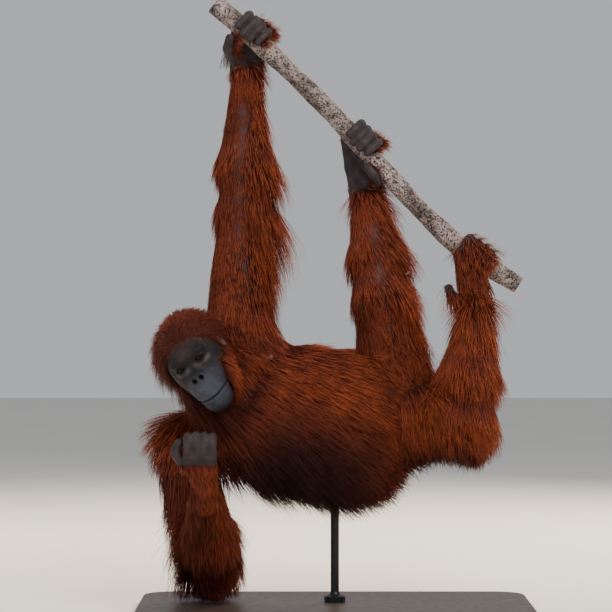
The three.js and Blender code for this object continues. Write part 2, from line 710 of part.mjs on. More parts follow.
// Coats that would cross are cut clear of the node named second
const clearOf = [
  ["upper_arm_left", "head"],
  ["torso", "head"],
  ["upper_arm_right", "head"],
  ["forearm_right", "head"],
  ["forearm_right", "torso"],
  ["upper_arm_right", "neck"],
  ["upper_arm_left", "neck"],
  ["torso", "shank_right"],
  ["thigh_left", "torso"],
  ["thigh_right", "thigh_left"],
  ["shank_left", "perch_branch"],
  ["forearm_left", "perch_branch"],
];
for (const [name, other] of clearOf)
  if (solids[name].intersect(solids[other]).volume() > 0)
    solids[name] = largest(solids[name].subtract(grown(solids[other], GAP)));

const orangutan = new THREE.Group();
for (const [name, solid] of Object.entries(solids)) {
  const clean = largest(solid.simplify(TOLERANCE.sliver));
  const mesh = new THREE.Mesh(geometryOf(clean), looks[name] ?? red);
  mesh.name = name;
  orangutan.add(mesh);
}

export default orangutan;
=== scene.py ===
"""Looks of a life-size orangutan that hangs from a slanting branch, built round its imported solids."""

import math

import bpy
import numpy as np
from mathutils.kdtree import KDTree
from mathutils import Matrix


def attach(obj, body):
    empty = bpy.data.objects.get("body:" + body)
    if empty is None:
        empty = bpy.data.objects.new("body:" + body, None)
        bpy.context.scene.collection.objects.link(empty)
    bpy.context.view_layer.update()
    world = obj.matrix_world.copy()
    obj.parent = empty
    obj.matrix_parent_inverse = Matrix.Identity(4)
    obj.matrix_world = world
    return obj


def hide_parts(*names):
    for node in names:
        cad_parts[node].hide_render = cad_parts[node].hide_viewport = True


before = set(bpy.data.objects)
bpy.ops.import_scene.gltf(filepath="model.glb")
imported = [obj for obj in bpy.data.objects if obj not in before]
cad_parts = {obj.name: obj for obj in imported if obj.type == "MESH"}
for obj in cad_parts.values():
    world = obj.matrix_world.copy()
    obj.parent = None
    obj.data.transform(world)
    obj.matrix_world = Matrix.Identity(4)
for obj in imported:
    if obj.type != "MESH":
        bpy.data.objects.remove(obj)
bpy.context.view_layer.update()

# Lengths below are millimetres in the row frame, as in the solids
MM = 0.001
DOWN = np.array([0.0, 0.0, -1.0])
SEED = 11
rng = np.random.default_rng(SEED)

# Grid steps of the skins
BODY_CELL = 6
HEAD_CELL = 1.9
HAND_CELL = 2.2
EAR_CELL = 1.6

# How softly neighbouring forms run into each other
BODY_BLEND = 12
FACE_BLEND = 7
HAND_BLEND = 2.2


def at(*values):
    return np.array(values, float)


def lengths(v):
    return np.linalg.norm(v, axis=1)


def ramp(x):
    """A value held between 0 and 1."""
    return np.clip(x, 0, 1)


def unit(v):
    return v / np.maximum(np.linalg.norm(v, axis=-1, keepdims=True), 1e-9)


# Joints of the skeleton
SHOULDER_LEFT, SHOULDER_RIGHT = at(-252, 50, 712), at(-372, 50, 425)
ELBOW_LEFT, ELBOW_RIGHT = at(-240, 66, 1010), at(-308, 30, 138)
WRIST_LEFT, WRIST_RIGHT = at(-226, 42, 1352), at(-322, -175, 333)
HIP_LEFT, HIP_RIGHT = at(140, 30, 560), at(112, 45, 515)
KNEE_LEFT, KNEE_RIGHT = at(106, -20, 803), at(312, -80, 496)
ANKLE_LEFT, ANKLE_RIGHT = at(76, 40, 1040), at(350, -14, 765)
NECK_BASE, HEAD_BASE = at(-252, 15, 572), at(-306, -58, 592)
HEAD_CENTRE = at(-341, -112, 640)
HEAD_LEAN, HEAD_LOOK, HEAD_DOWN = -35, -15, 10

BRANCH_RADIUS = 24
BRANCH_ROUTE = np.array([
    (-300, 2, 1520), (-215, 0, 1447), (-20, 0, 1260), (125, 0, 1103),
    (228, 0, 992), (342, 0, 888), (398, 0, 855), (458, 0, 818),
], float)


def turned(axis, degrees):
    c, s = math.cos(math.radians(degrees)), math.sin(math.radians(degrees))
    i, j = [k for k in range(3) if k != axis]
    turn = np.eye(3)
    sign = -1 if axis == 1 else 1
    turn[i, i] = turn[j, j] = c
    turn[i, j], turn[j, i] = -s * sign, s * sign
    return turn


# Head frame: local +X is the animal's left, -Y its face, +Z its crown
HEAD_TURN = turned(1, HEAD_LEAN) @ turned(2, HEAD_LOOK) @ turned(0, HEAD_DOWN)


def to_world(p):
    return p @ HEAD_TURN.T + HEAD_CENTRE


def to_head(p):
    return (p - HEAD_CENTRE) @ HEAD_TURN


# Distance fields
def cone(a, b, start, end):
    axis = b - a
    span = axis @ axis

    def field(p):
        t = ramp((p - a) @ axis / span)
        return lengths(p - a - t[:, None] * axis) - start - (end - start) * t

    return field


def ellipsoid(centre, radii):
    centre, radii = np.array(centre, float), np.array(radii, float)

    def field(p):
        q = p - centre
        k0 = lengths(q / radii)
        k1 = lengths(q / radii**2)
        return k0 * (k0 - 1) / np.maximum(k1, 1e-6)

    return field


def blended(fields, softness):
    def field(p):
        values = np.stack([f(p) for f in fields])
        least = values.min(0)
        return least - softness * np.log(np.exp((least - values) / softness).sum(0))

    return field


def carved(field, cutter, softness):
    def result(p):
        a, b = field(p), -cutter(p)
        top = np.maximum(a, b)
        return top + softness * np.log(np.exp((a - top) / softness) + np.exp((b - top) / softness))

    return result


def slope(field, p, step=0.6):
    steps = np.eye(3) * step
    return np.stack([field(p + s) - field(p - s) for s in steps], 1) / (2 * step)


CORNERS = np.array([(c & 1, c >> 1 & 1, c >> 2) for c in range(8)])
CELL_EDGES = [(a, a | bit) for a in range(8) for bit in (1, 2, 4) if not a & bit]
GRID_CHUNK = 150000
SETTLING_STEPS = 2
LEAST_SLOPE = 0.5


def along_axis(axis, part):
    """An index that takes a part of one axis and all of the other two."""
    index = [slice(None)] * 3
    index[axis] = part
    return tuple(index)


def sampled(field, low, high, cell):
    """A field's values on a grid whose outer faces are made to count as outside."""
    lines = [np.arange(lo, hi + cell, cell) for lo, hi in zip(low, high)]
    grid = np.stack(np.meshgrid(*lines, indexing="ij"), -1).reshape(-1, 3)
    parts = np.array_split(grid, max(1, len(grid) // GRID_CHUNK))
    values = np.concatenate([field(part) for part in parts]).reshape([len(line) for line in lines])
    for axis in range(3):
        for end in (0, -1):
            values[along_axis(axis, end)] = cell
    return values


def crossed_cells(values):
    """Where the skin passes through each cell that it crosses, and the number of each cell."""
    inside = values < 0
    shape = values.shape
    corners = np.stack([
        inside[i:shape[0] - 1 + i, j:shape[1] - 1 + j, k:shape[2] - 1 + k] for i, j, k in CORNERS
    ])
    mixed = corners.any(0) & ~corners.all(0)
    cells = np.argwhere(mixed)
    number = np.full(mixed.shape, -1)
    number[tuple(cells.T)] = np.arange(len(cells))
    at_corner = values[tuple((cells[:, None] + CORNERS[None]).transpose(2, 0, 1))]
    total, count = np.zeros((len(cells), 3)), np.zeros(len(cells))
    for a, b in CELL_EDGES:
        va, vb = at_corner[:, a], at_corner[:, b]
        cross = (va < 0) != (vb < 0)
        t = np.where(cross, va / np.where(va == vb, 1, va - vb), 0)
        total += (CORNERS[a] + t[:, None] * (CORNERS[b] - CORNERS[a])) * cross[:, None]
        count += cross
    return cells + total / count[:, None], number


def crossing_quads(values, number):
    """One quad across each grid edge that the skin crosses, wound to face outwards."""
    inside = values < 0
    quads = []
    for axis in range(3):
        lower, upper = inside[along_axis(axis, slice(0, -1))], inside[along_axis(axis, slice(1, None))]
        spots = np.argwhere(lower != upper)
        u, v = np.eye(3, dtype=int)[(axis + 1) % 3], np.eye(3, dtype=int)[(axis + 2) % 3]
        ring = [spots, spots - u, spots - u - v, spots - v]
        quad = np.stack([number[tuple(r.T)] for r in ring], 1)
        outer = ~lower[tuple(spots.T)]
        quad[outer] = quad[outer][:, ::-1]
        quads.append(quad)
    return np.concatenate(quads)


def surface(field, low, high, cell):
    """A field's skin as points and quads, with one point in each grid cell that the skin crosses."""
    values = sampled(field, low, high, cell)
    places, number = crossed_cells(values)
    points = np.array(low) + places * cell
    for _ in range(SETTLING_STEPS):
        g = slope(field, points)
        move = -field(points)[:, None] * g / np.maximum((g**2).sum(1), LEAST_SLOPE**2)[:, None]
        points += np.clip(move, -cell, cell)
    return points, crossing_quads(values, number)


# Colours
def srgb(*values):
    c = np.array(values, float) / 255
    return np.where(c <= 0.04045, c / 12.92, ((c + 0.055) / 1.055) ** 2.4)


def mix(a, b, t):
    return a + (b - a) * ramp(t)[..., None]


def bell(distance, width):
    return np.exp(-((distance / width) ** 2))


HAIR_ROOT = srgb(38, 15, 13)
HAIR_MID = srgb(98, 40, 27)
HAIR_TIP = srgb(160, 76, 42)
# Mixed in where the coat's tone is low: partly the coat's own darker hair, partly painted shade on
# undersides and shaded sides
HAIR_DARK = srgb(48, 21, 20)
FACE_DARK = srgb(19, 17, 19)
FACE_MUZZLE = srgb(66, 68, 79)
FACE_LID = srgb(86, 77, 76)
FACE_BROW = srgb(58, 43, 39)
# Dark skin under the coat, darkened further as painted shade so the gaps between tufts read as shaded hair
UNDER_COAT = srgb(60, 28, 21)
THIN_SKIN = srgb(64, 38, 37)
NIPPLE_SKIN = srgb(128, 84, 84)
HAND_SKIN = srgb(44, 37, 38)
PALM_SKIN = srgb(60, 51, 52)
EAR_SKIN = srgb(74, 58, 54)


# Meshes
def make_mesh(name, points, faces, paint=None, uv=None):
    """A smooth mesh from points in millimetres, with its paint on the points and its unwrap."""
    mesh = bpy.data.meshes.new(name)
    sides = faces.shape[1]
    mesh.vertices.add(len(points))
    mesh.vertices.foreach_set("co", (points * MM).astype(np.float32).ravel())
    mesh.loops.add(faces.size)
    mesh.loops.foreach_set("vertex_index", faces.astype(np.int32).ravel())
    mesh.polygons.add(len(faces))
    mesh.polygons.foreach_set("loop_start", np.arange(len(faces), dtype=np.int32) * sides)
    mesh.polygons.foreach_set("use_smooth", np.full(len(faces), True))
    mesh.update(calc_edges=True)
    if paint is not None:
        layer = mesh.color_attributes.new("paint", "FLOAT_COLOR", "POINT")
        rgba = np.ones((len(points), 4), np.float32)
        rgba[:, :3] = paint
        layer.data.foreach_set("color", rgba.ravel())
    if uv is not None:
        layer = mesh.uv_layers.new(name="OFBake")
        layer.data.foreach_set("uv", uv[faces.ravel()].astype(np.float32).ravel())
    return mesh


def new_object(name, data):
    item = bpy.data.objects.new(name, data)
    bpy.context.scene.collection.objects.link(item)
    return item


def add_piece(name, mesh, material, replaced=()):
    mesh.materials.append(material)
    piece = new_object(name, mesh)
    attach(piece, "root")
    if replaced:
        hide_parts(*replaced)


def stacked(parts):
    """Several (points, faces, paint) parts as one."""
    offsets = np.cumsum([0] + [len(part[0]) for part in parts])
    faces = np.concatenate([part[1] + start for part, start in zip(parts, offsets)])
    return np.concatenate([part[0] for part in parts]), faces, np.concatenate([part[2] for part in parts])


# Materials
def new_material(name):
    material = bpy.data.materials.new(name)
    material.use_nodes = True
    tree = material.node_tree
    return material, tree, tree.nodes["Principled BSDF"]


def set_inputs(node, values):
    for name, value in values.items():
        node.inputs[name].default_value = value


def noise(tree, scale, detail=4.0, stretch=(1, 1, 1)):
    place = tree.nodes.new("ShaderNodeTexCoord")
    mapping = tree.nodes.new("ShaderNodeMapping")
    set_inputs(mapping, {"Scale": stretch})
    texture = tree.nodes.new("ShaderNodeTexNoise")
    set_inputs(texture, {"Scale": scale, "Detail": detail})
    tree.links.new(place.outputs["Object"], mapping.inputs["Vector"])
    tree.links.new(mapping.outputs["Vector"], texture.inputs["Vector"])
    return texture.outputs["Fac"]


def ranged(tree, value, low, high, start=0.3, stop=0.7):
    node = tree.nodes.new("ShaderNodeMapRange")
    set_inputs(node, {"From Min": start, "From Max": stop, "To Min": low, "To Max": high})
    tree.links.new(value, node.inputs["Value"])
    return node.outputs["Result"]


def tinted(tree, colour, factor):
    """A colour times a factor."""
    node = tree.nodes.new("ShaderNodeVectorMath")
    node.operation = "SCALE"
    tree.links.new(colour, node.inputs[0])
    tree.links.new(factor, node.inputs["Scale"])
    return node.outputs["Vector"]


def add_bump(tree, bsdf, height, strength, distance):
    bump = tree.nodes.new("ShaderNodeBump")
    set_inputs(bump, {"Strength": strength, "Distance": distance})
    tree.links.new(height, bump.inputs["Height"])
    tree.links.new(bump.outputs["Normal"], bsdf.inputs["Normal"])


def link_paint(tree, bsdf, scale, detail, spread):
    """The painted colour, lighter and darker in patches, as the base colour."""
    paint = tree.nodes.new("ShaderNodeAttribute")
    paint.attribute_name = "paint"
    factor = ranged(tree, noise(tree, scale, detail), 1 - spread, 1 + spread)
    tree.links.new(tinted(tree, paint.outputs["Color"], factor), bsdf.inputs["Base Color"])


def painted_material(name, roughness, scale, spread, specular, bump_scale=0, bump=0):
    material, tree, bsdf = new_material(name)
    link_paint(tree, bsdf, scale, 4.0, spread)
    rough = ranged(tree, noise(tree, scale * 1.7), roughness - 0.07, roughness + 0.07)
    tree.links.new(rough, bsdf.inputs["Roughness"])
    set_inputs(bsdf, {"Specular IOR Level": specular})
    if bump:
        add_bump(tree, bsdf, noise(tree, bump_scale, 6.0), bump, 0.0012)
    return material


def eye_material():
    material, tree, bsdf = new_material("eye")
    link_paint(tree, bsdf, 900, 3.0, 0.2)
    set_inputs(bsdf, {"Roughness": 0.1, "Specular IOR Level": 0.12})
    return material


def bark_material():
    material, tree, bsdf = new_material("bark")
    patches = tree.nodes.new("ShaderNodeValToRGB")
    patches.color_ramp.elements[0].position = 0.36
    patches.color_ramp.elements[0].color = (*srgb(92, 80, 76), 1)
    patches.color_ramp.elements[1].position = 0.62
    patches.color_ramp.elements[1].color = (*srgb(166, 150, 144), 1)
    tree.links.new(noise(tree, 22, 5.0), patches.inputs["Fac"])
    specks = ranged(tree, noise(tree, 210, 3.0), 0.16, 1.0, 0.41, 0.5)
    scars = ranged(tree, noise(tree, 60, 4.0, (1, 1, 2.2)), 0.45, 1.0, 0.36, 0.46)
    speckled = tinted(tree, patches.outputs["Color"], specks)
    tree.links.new(tinted(tree, speckled, scars), bsdf.inputs["Base Color"])
    set_inputs(bsdf, {"Roughness": 0.88, "Specular IOR Level": 0.25})
    add_bump(tree, bsdf, noise(tree, 160, 7.0), 0.6, 0.002)
    return material


def plain_material(name, colour, roughness, metallic, scale, spread, stretch=(1, 1, 1)):
    material, tree, bsdf = new_material(name)
    base = tree.nodes.new("ShaderNodeRGB")
    base.outputs[0].default_value = (*colour, 1)
    factor = ranged(tree, noise(tree, scale, 5.0, stretch), 1 - spread, 1 + spread)
    tree.links.new(tinted(tree, base.outputs[0], factor), bsdf.inputs["Base Color"])
    rough = ranged(tree, noise(tree, scale * 2), roughness - 0.05, roughness + 0.05)
    tree.links.new(rough, bsdf.inputs["Roughness"])
    set_inputs(bsdf, {"Metallic": metallic})
    return material


# Flesh under the coat, part by part
def limb(start, end, radii, share=None):
    """Flesh between two joints. With three radii it has the second at a share of its length."""
    if share is None:
        return [cone(start, end, *radii)]
    middle = start + share * (end - start)
    return [cone(start, middle, *radii[:2]), cone(middle, end, *radii[1:])]


LIMBS = {
    "upper_arm_left": (SHOULDER_LEFT, ELBOW_LEFT, (64, 47)),
    "forearm_left": (ELBOW_LEFT, WRIST_LEFT, (44, 48, 28), 0.35),
    "upper_arm_right": (SHOULDER_RIGHT, ELBOW_RIGHT, (56, 44)),
    "forearm_right": (ELBOW_RIGHT, WRIST_RIGHT, (43, 47, 28), 0.35),
    "thigh_left": (HIP_LEFT, KNEE_LEFT, (78, 52)),
    "shank_left": (KNEE_LEFT, ANKLE_LEFT, (50, 48, 29), 0.4),
    "thigh_right": (HIP_RIGHT, KNEE_RIGHT, (82, 58)),
    "shank_right": (KNEE_RIGHT, ANKLE_RIGHT, (55, 50, 30), 0.4),
}


FLESH = {
    "torso": [
        ellipsoid((-170, 25, 507), (138, 118, 162)),
        ellipsoid((-12, 8, 482), (186, 134, 166)),
        ellipsoid((-95, 16, 500), (112, 118, 158)),
        ellipsoid((128, 38, 500), (104, 94, 92)),
        cone(at(-215, 40, 640), SHOULDER_LEFT, 84, 66),
        cone(at(-235, 40, 470), SHOULDER_RIGHT, 84, 58),
    ],
    "neck": [cone(NECK_BASE, HEAD_BASE, 76, 68), cone(HEAD_BASE, HEAD_CENTRE + at(4, 18, 0), 66, 52)],
    **{name: limb(*values) for name, values in LIMBS.items()},
}
PART_NAMES = list(FLESH)
trunk_field = blended([field for fields in FLESH.values() for field in fields], BODY_BLEND)
FRONT_TO_BACK = np.linspace(-200, 120, 400)


def on_front(field, x, z):
    """Where a line that runs back from the front meets a skin."""
    line = np.stack([np.full_like(FRONT_TO_BACK, x), FRONT_TO_BACK, np.full_like(FRONT_TO_BACK, z)], 1)
    return line[int((field(line) < 0).argmax())]


NIPPLE = on_front(trunk_field, -162.0, 638.0)
body_field = blended([trunk_field, cone(NIPPLE + at(0, 4, 0), NIPPLE + at(2, -15, -3), 9, 6)], 3)

# Stripes on the front where the coat is thin: start, end and half width
THIN_STRIPES = [
    (at(-226, 0, 1290), at(-238, 0, 1000), 22),
    (at(-238, 0, 1000), at(-214, 0, 800), 26),
    (at(92, 0, 1000), at(112, 0, 830), 26),
    (at(112, 0, 830), at(136, 0, 700), 22),
]


def thinness(p, n):
    """1 where the coat is thin, 0 where it is full."""
    flat = p * at(1, 0, 1)
    reach = np.stack([cone(a * at(1, 0, 1), b * at(1, 0, 1), 0, 0)(flat) / w for a, b, w in THIN_STRIPES])
    return np.exp(-reach.min(0) ** 2) * ramp(-n[:, 1] * 2)


def part_of(p):
    """The number of the flesh part that each point lies on."""
    nearest = np.stack([np.min([f(p) for f in FLESH[name]], axis=0) for name in PART_NAMES])
    return nearest.argmin(0)


# The branch
def catmull(route, count, fine=60):
    """Points at even steps along a centripetal curve through the route."""
    ends = np.vstack([2 * route[0] - route[1], route, 2 * route[-1] - route[-2]])
    dense = []
    for i in range(len(route) - 1):
        p0, p1, p2, p3 = ends[i:i + 4]
        d0, d1, d2 = [max(np.linalg.norm(b - a), 1e-4) ** 0.5 for a, b in ((p0, p1), (p1, p2), (p2, p3))]
        t1 = ((p1 - p0) / d0 - (p2 - p0) / (d0 + d1) + (p2 - p1) / d1) * d1
        t2 = ((p2 - p1) / d1 - (p3 - p1) / (d1 + d2) + (p3 - p2) / d2) * d1
        t = np.linspace(0, 1, fine, endpoint=i == len(route) - 2)[:, None]
        dense.append(
            p1 + t1 * t + (3 * (p2 - p1) - 2 * t1 - t2) * t**2 + (2 * (p1 - p2) + t1 + t2) * t**3
        )
    dense = np.concatenate(dense)
    length = np.concatenate([[0], np.cumsum(lengths(np.diff(dense, axis=0)))])
    even = np.linspace(0, length[-1], count)
    return np.stack([np.interp(even, length, dense[:, k]) for k in range(3)], 1)


branch_line = catmull(BRANCH_ROUTE, 500)


def branch_spot(place):
    """The branch's centre nearest to a place, and its course there."""
    k = int(lengths(branch_line - place).argmin())
    k = min(max(k, 1), len(branch_line) - 2)
    return branch_line[k], unit(branch_line[k + 1] - branch_line[k - 1])


def tube(line, radii, sides):
    """A tube whose radii are given ring by ring and side by side, closed at both ends."""
    along = unit(np.gradient(line, axis=0))
    side = unit(np.cross(along, at(0, 1, 0)))
    out = np.cross(side, along)
    angle = np.linspace(0, 2 * math.pi, sides, endpoint=False)
    ring = (
        line[:, None]
        + side[:, None] * (np.cos(angle)[None, :, None] * radii[..., None])
        + out[:, None] * (np.sin(angle)[None, :, None] * radii[..., None])
    )
    rings = len(line)
    r, s = np.meshgrid(np.arange(rings - 1), np.arange(sides), indexing="ij")
    nxt = (s + 1) % sides
    quads = np.stack([r * sides + s, r * sides + nxt, (r + 1) * sides + nxt, (r + 1) * sides + s], -1)
    points = np.vstack([ring.reshape(-1, 3), line[0], line[-1]])
    k = np.arange(sides)
    first, last = rings * sides, rings * sides + 1
    cap0 = np.stack([k, np.full(sides, first), np.full(sides, first), (k + 1) % sides], 1)
    end = (rings - 1) * sides
    cap1 = np.stack([end + k, end + (k + 1) % sides, np.full(sides, last), np.full(sides, last)], 1)
    return points, quads.reshape(-1, 4), cap0, cap1


def triangles_of(quads):
    both = np.concatenate([quads[:, [0, 1, 2]], quads[:, [0, 2, 3]]])
    same = (both[:, 0] == both[:, 1]) | (both[:, 1] == both[:, 2]) | (both[:, 2] == both[:, 0])
    return both[~same]


def build_branch():
    rings, sides = 420, 40
    line = catmull(BRANCH_ROUTE, rings)
    t = np.linspace(0, 1, rings)[:, None]
    angle = np.linspace(0, 2 * math.pi, sides, endpoint=False)[None]
    radii = BRANCH_RADIUS + 1.3 * np.sin(17 * t) + 1.2 * np.sin(41 * t + 1) - 0.6
    ridges = 0.5 * np.sin(7 * angle + 9 * np.sin(6 * t)) + 0.35 * np.sin(13 * angle - 40 * t)
    radii = radii + ridges + 0.35 * np.sin(150 * t + 3 * angle)
    points, quads, cap0, cap1 = tube(line, np.broadcast_to(radii, (rings, sides)), sides)
    faces = triangles_of(np.concatenate([quads, cap0, cap1]))
    mesh = make_mesh("branch", points, faces)
    add_piece("branch_bark", mesh, bark_material(), ["perch_branch"])


# Hands and feet
FINGER, TOE, THUMB = 10.2, 10.8, 11.5
DIGIT_SPACING = 21.5
DIGIT_SIZES = (0.98, 1.06, 1.04, 0.92)
DIGIT_STATIONS = 11
BRANCH_CLEARANCE = 2.4
BOX_MARGIN = 44
NAIL_GRID = 9
NAIL_THICKNESS = 1.6
NAIL_COLOUR = srgb(46, 38, 36)


def digit_parts(route, size):
    """Round cones along a finger, a toe or a thumb, thicker at its three joints."""
    line = catmull(np.array(route, float), DIGIT_STATIONS)
    t = np.linspace(0, 1, DIGIT_STATIONS)
    radii = size * (1 + 0.11 * np.cos(6 * math.pi * t) - 0.2 * t)
    return [cone(line[k], line[k + 1], radii[k], radii[k + 1]) for k in range(DIGIT_STATIONS - 1)]


def wrap_route(middle, along, offset, start, end, size):
    """A digit's route round the branch, from one angle to another."""
    over = np.cross(along, at(0, 1, 0))
    up = over if over[2] > 0 else -over
    reach = BRANCH_RADIUS + BRANCH_CLEARANCE + size
    turns = np.radians(np.linspace(start, end, 7))
    return [
        middle + along * offset + at(0, 1, 0) * math.cos(turn) * reach + up * math.sin(turn) * reach
        for turn in turns
    ]


def grip(joint, place, behind, size, thumb):
    """A hand or foot that holds the branch: its field, its digit routes and where its branch is."""
    middle, along = branch_spot(place)
    start, end = (-28, 200) if behind > 0 else (208, -16)
    routes, fields = [], []
    for k in range(4):
        offset = (k - 1.5) * DIGIT_SPACING
        finish = end + (-8 if behind > 0 else 8) * abs(k - 1.3)
        thick = size * DIGIT_SIZES[k]
        route = wrap_route(middle, along, offset, start, finish, thick)
        routes.append((route, thick, middle + along * offset))
        fields += digit_parts(route, thick)
        heel = joint + at(1, 0, 0) * (k - 1.5) * 14 + at(0, behind * 2, 8)
        knuckle = route[0] + at(0, behind * 2, -4)
        bend = (heel + knuckle) / 2 + at(0, behind * 5, 0)
        fields += [cone(heel, bend, 17, 16), cone(bend, knuckle, 16, 12)]
    fields.append(cone(joint + at(0, 0, -30), joint + at(0, 0, 12), 26, 24))
    routes.append((thumb, THUMB, thumb[0]))
    fields += digit_parts(thumb, THUMB)
    fields.append(cone(joint + at(0, 0, 22), thumb[0], 17, 13))
    fields.append(cone(joint + at(0, behind * 4, 36), (thumb[0] + thumb[1]) / 2, 17, 11))
    return blended(fields, HAND_BLEND), routes


def right_hand():
    """The loosely closed hand near the chin: its field and its digit routes."""
    middle_x = -328
    routes, fields = [], []
    for k in range(4):
        x = middle_x + (k - 1.5) * 19.5
        short = 3 * abs(k - 1.4)
        route = [
            at(x, -216, 402), at(x, -224, 428 - short), at(x, -216, 449 - short),
            at(x, -196, 455 - short), at(x, -178, 444 - short), at(x, -174, 424), at(x, -184, 408),
        ]
        routes.append((route, FINGER, at(x, -198, 428)))
        fields += digit_parts(route, FINGER)
        heel = WRIST_RIGHT + at((k - 1.5) * 11, -2, 8)
        fields.append(cone(heel, route[0], 15, 11.5))
        fields.append(cone(at(x, -204, 406), at(x, -196, 430), 9, 8))
    thumb = [at(-356, -190, 378), at(-378, -200, 396), at(-388, -204, 416), at(-380, -200, 434)]
    routes.append((thumb, THUMB, at(-360, -200, 410)))
    fields += digit_parts(thumb, THUMB)
    fields.append(cone(WRIST_RIGHT + at(-10, -4, 18), thumb[0], 15, 11))
    fields.append(cone(WRIST_RIGHT + at(0, 10, -22), WRIST_RIGHT + at(0, -4, 12), 26, 24))
    return blended(fields, HAND_BLEND), routes


EXTREMITIES = {
    "hand_left": grip(WRIST_LEFT, at(-213, 0, 1446), 1, FINGER, [
        at(-246, 30, 1378), at(-262, 4, 1392), at(-268, -22, 1410), at(-262, -34, 1432)]),
    "foot_left": grip(ANKLE_LEFT, at(60, 0, 1173), 1, TOE, [
        at(92, 30, 1068), at(104, 2, 1076), at(96, -22, 1092), at(78, -30, 1112)]),
    "foot_right": grip(ANKLE_RIGHT, at(342, 0, 888), -1, TOE, [
        at(322, -20, 778), at(302, -32, 782), at(288, -40, 794), at(282, -42, 810)]),
    "hand_right": right_hand(),
}
END_JOINTS = {
    "hand_left": WRIST_LEFT,
    "foot_left": ANKLE_LEFT,
    "foot_right": ANKLE_RIGHT,
    "hand_right": WRIST_RIGHT,
}


def box_of(routes, joint):
    """A roomy box round a hand or foot and its joint."""
    places = np.array([p for route, _, _ in routes for p in route] + [joint + at(0, 0, -40)])
    return places.min(0) - BOX_MARGIN, places.max(0) + BOX_MARGIN


def extremity(name):
    """The skin of one hand or foot."""
    field, routes = EXTREMITIES[name]
    low, high = box_of(routes, END_JOINTS[name])
    points, quads = surface(field, low, high, HAND_CELL)
    mottle = 0.5 + 0.5 * np.sin(points[:, 0] * 0.15) * np.sin(points[:, 2] * 0.12 + 1)
    return points, quads, mix(HAND_SKIN, PALM_SKIN, mottle)


def nail(route, size, centre):
    """A small curved plate on the back of one digit's end."""
    u, v = np.meshgrid(np.linspace(-1, 1, NAIL_GRID), np.linspace(-1, 1, NAIL_GRID), indexing="ij")
    line = catmull(np.array(route, float), 30)
    tip, course = line[-1], unit(line[-1] - line[-4])
    back = tip - centre
    back = unit(back - (back @ course) * course)
    side = np.cross(course, back)
    half = 0.62 * size
    flat = tip + course * (v * 0.62 * size + 0.15 * size)[..., None]
    arch = 0.86 * size * np.cos(0.75 * u) - 0.5 * (v > 0.6) * (v - 0.6)
    points = flat + side * (np.sin(0.85 * u) * half)[..., None] + back * arch[..., None]
    lower = points - back * NAIL_THICKNESS
    grid = np.concatenate([points.reshape(-1, 3), lower.reshape(-1, 3)])
    return grid, plate_faces(NAIL_GRID, NAIL_GRID), np.tile(NAIL_COLOUR, (len(grid), 1))


def nail_meshes():
    return stacked([nail(*digit) for _, routes in EXTREMITIES.values() for digit in routes])


def plate_faces(rows, columns):
    """Quads of a thin closed plate whose top and bottom are grids of points."""
    r, c = np.meshgrid(np.arange(rows - 1), np.arange(columns - 1), indexing="ij")
    corner = r * columns + c
    top = np.stack([corner, corner + columns, corner + columns + 1, corner + 1], -1).reshape(-1, 4)
    under = top[:, ::-1] + rows * columns
    rim = list(range(columns)) + [r * columns + columns - 1 for r in range(1, rows)]
    rim += [(rows - 1) * columns + c for c in range(columns - 2, -1, -1)]
    rim += [r * columns for r in range(rows - 2, 0, -1)]
    rim = np.array(rim)
    nxt = np.roll(rim, -1)
    wall = np.stack([rim, nxt, nxt + rows * columns, rim + rows * columns], 1)
    return np.concatenate([top, under, wall])


# The head, in its own frame
EYE = {"side": 29, "front": -63, "height": 8, "radius": 12}
GAZE = at(0.12, -1, -0.02)
EAR = {"side": 71, "depth": 14, "height": 4}
MOUTH_HEIGHT = -88
FACE_FLESH = [
    ellipsoid((0, 12, 22), (66, 80, 74)),
    ellipsoid((0, -48, 26), (46, 24, 20)),
    ellipsoid((0, -44, -12), (46, 26, 44)),
    *[ellipsoid((x, -30, -38), (26, 34, 42)) for x in (36, -36)],
    ellipsoid((0, -68, -58), (42, 39, 38)),
    ellipsoid((0, -60, -104), (37, 34, 31)),
    ellipsoid((0, -16, -78), (44, 52, 40)),
    ellipsoid((0, -82, -30), (13, 13, 14)),
    *[ellipsoid((x, -28, 2), (27, 26, 46)) for x in (40, -40)],
    ellipsoid((0, 30, 26), (70, 68, 76)),
    ellipsoid((0, 20, -36), (64, 48, 52)),
]


def eye_centre(side):
    return at(side * EYE["side"], EYE["front"], EYE["height"])


def almond(side):
    """The opening between the lids, which runs forward from the eye."""
    def field(p):
        q = p - eye_centre(side)
        upper = q[:, 2] - 6.8 * (1 - (q[:, 0] / 12.4) ** 2)
        lower = -q[:, 2] - 5.8 * (1 - (q[:, 0] / 12.4) ** 2)
        return np.maximum(np.maximum(upper, lower) * 0.8, q[:, 1])

    return field


def head_fields():
    """The head with its sockets, lids, brows, nose and the openings of its eyes."""
    field = blended(FACE_FLESH, FACE_BLEND)
    for side in (-1, 1):
        socket = ellipsoid(eye_centre(side) + at(0, -31, 1), (19, 22, 14))
        field = carved(field, socket, 5)
    lids = [ellipsoid(eye_centre(side), (15.4, 14.2, 13.8)) for side in (-1, 1)]
    bags = [ellipsoid(eye_centre(side) + at(1 * side, -2, -14), (14, 9, 5)) for side in (-1, 1)]
    brows = [ellipsoid(eye_centre(side) + at(-1 * side, -1, 18), (21, 11, 8)) for side in (-1, 1)]
    wings = [ellipsoid((side * 9.5, -91, -27), (9, 9, 8.5)) for side in (-1, 1)]
    field = blended([field, *lids, *bags, *brows, *wings], 2.6)
    for side in (-1, 1):
        nostril = ellipsoid((side * 9.6, -99, -30), (5.6, 11, 6.0))
        field = carved(field, nostril, 1.2)
        field = carved(field, almond(side), 0.7)
    return field


head_field = head_fields()


def mouth_offset(p):
    """How far a point is above the line of the mouth."""
    return p[:, 2] - (MOUTH_HEIGHT + 0.004 * p[:, 0] ** 2)


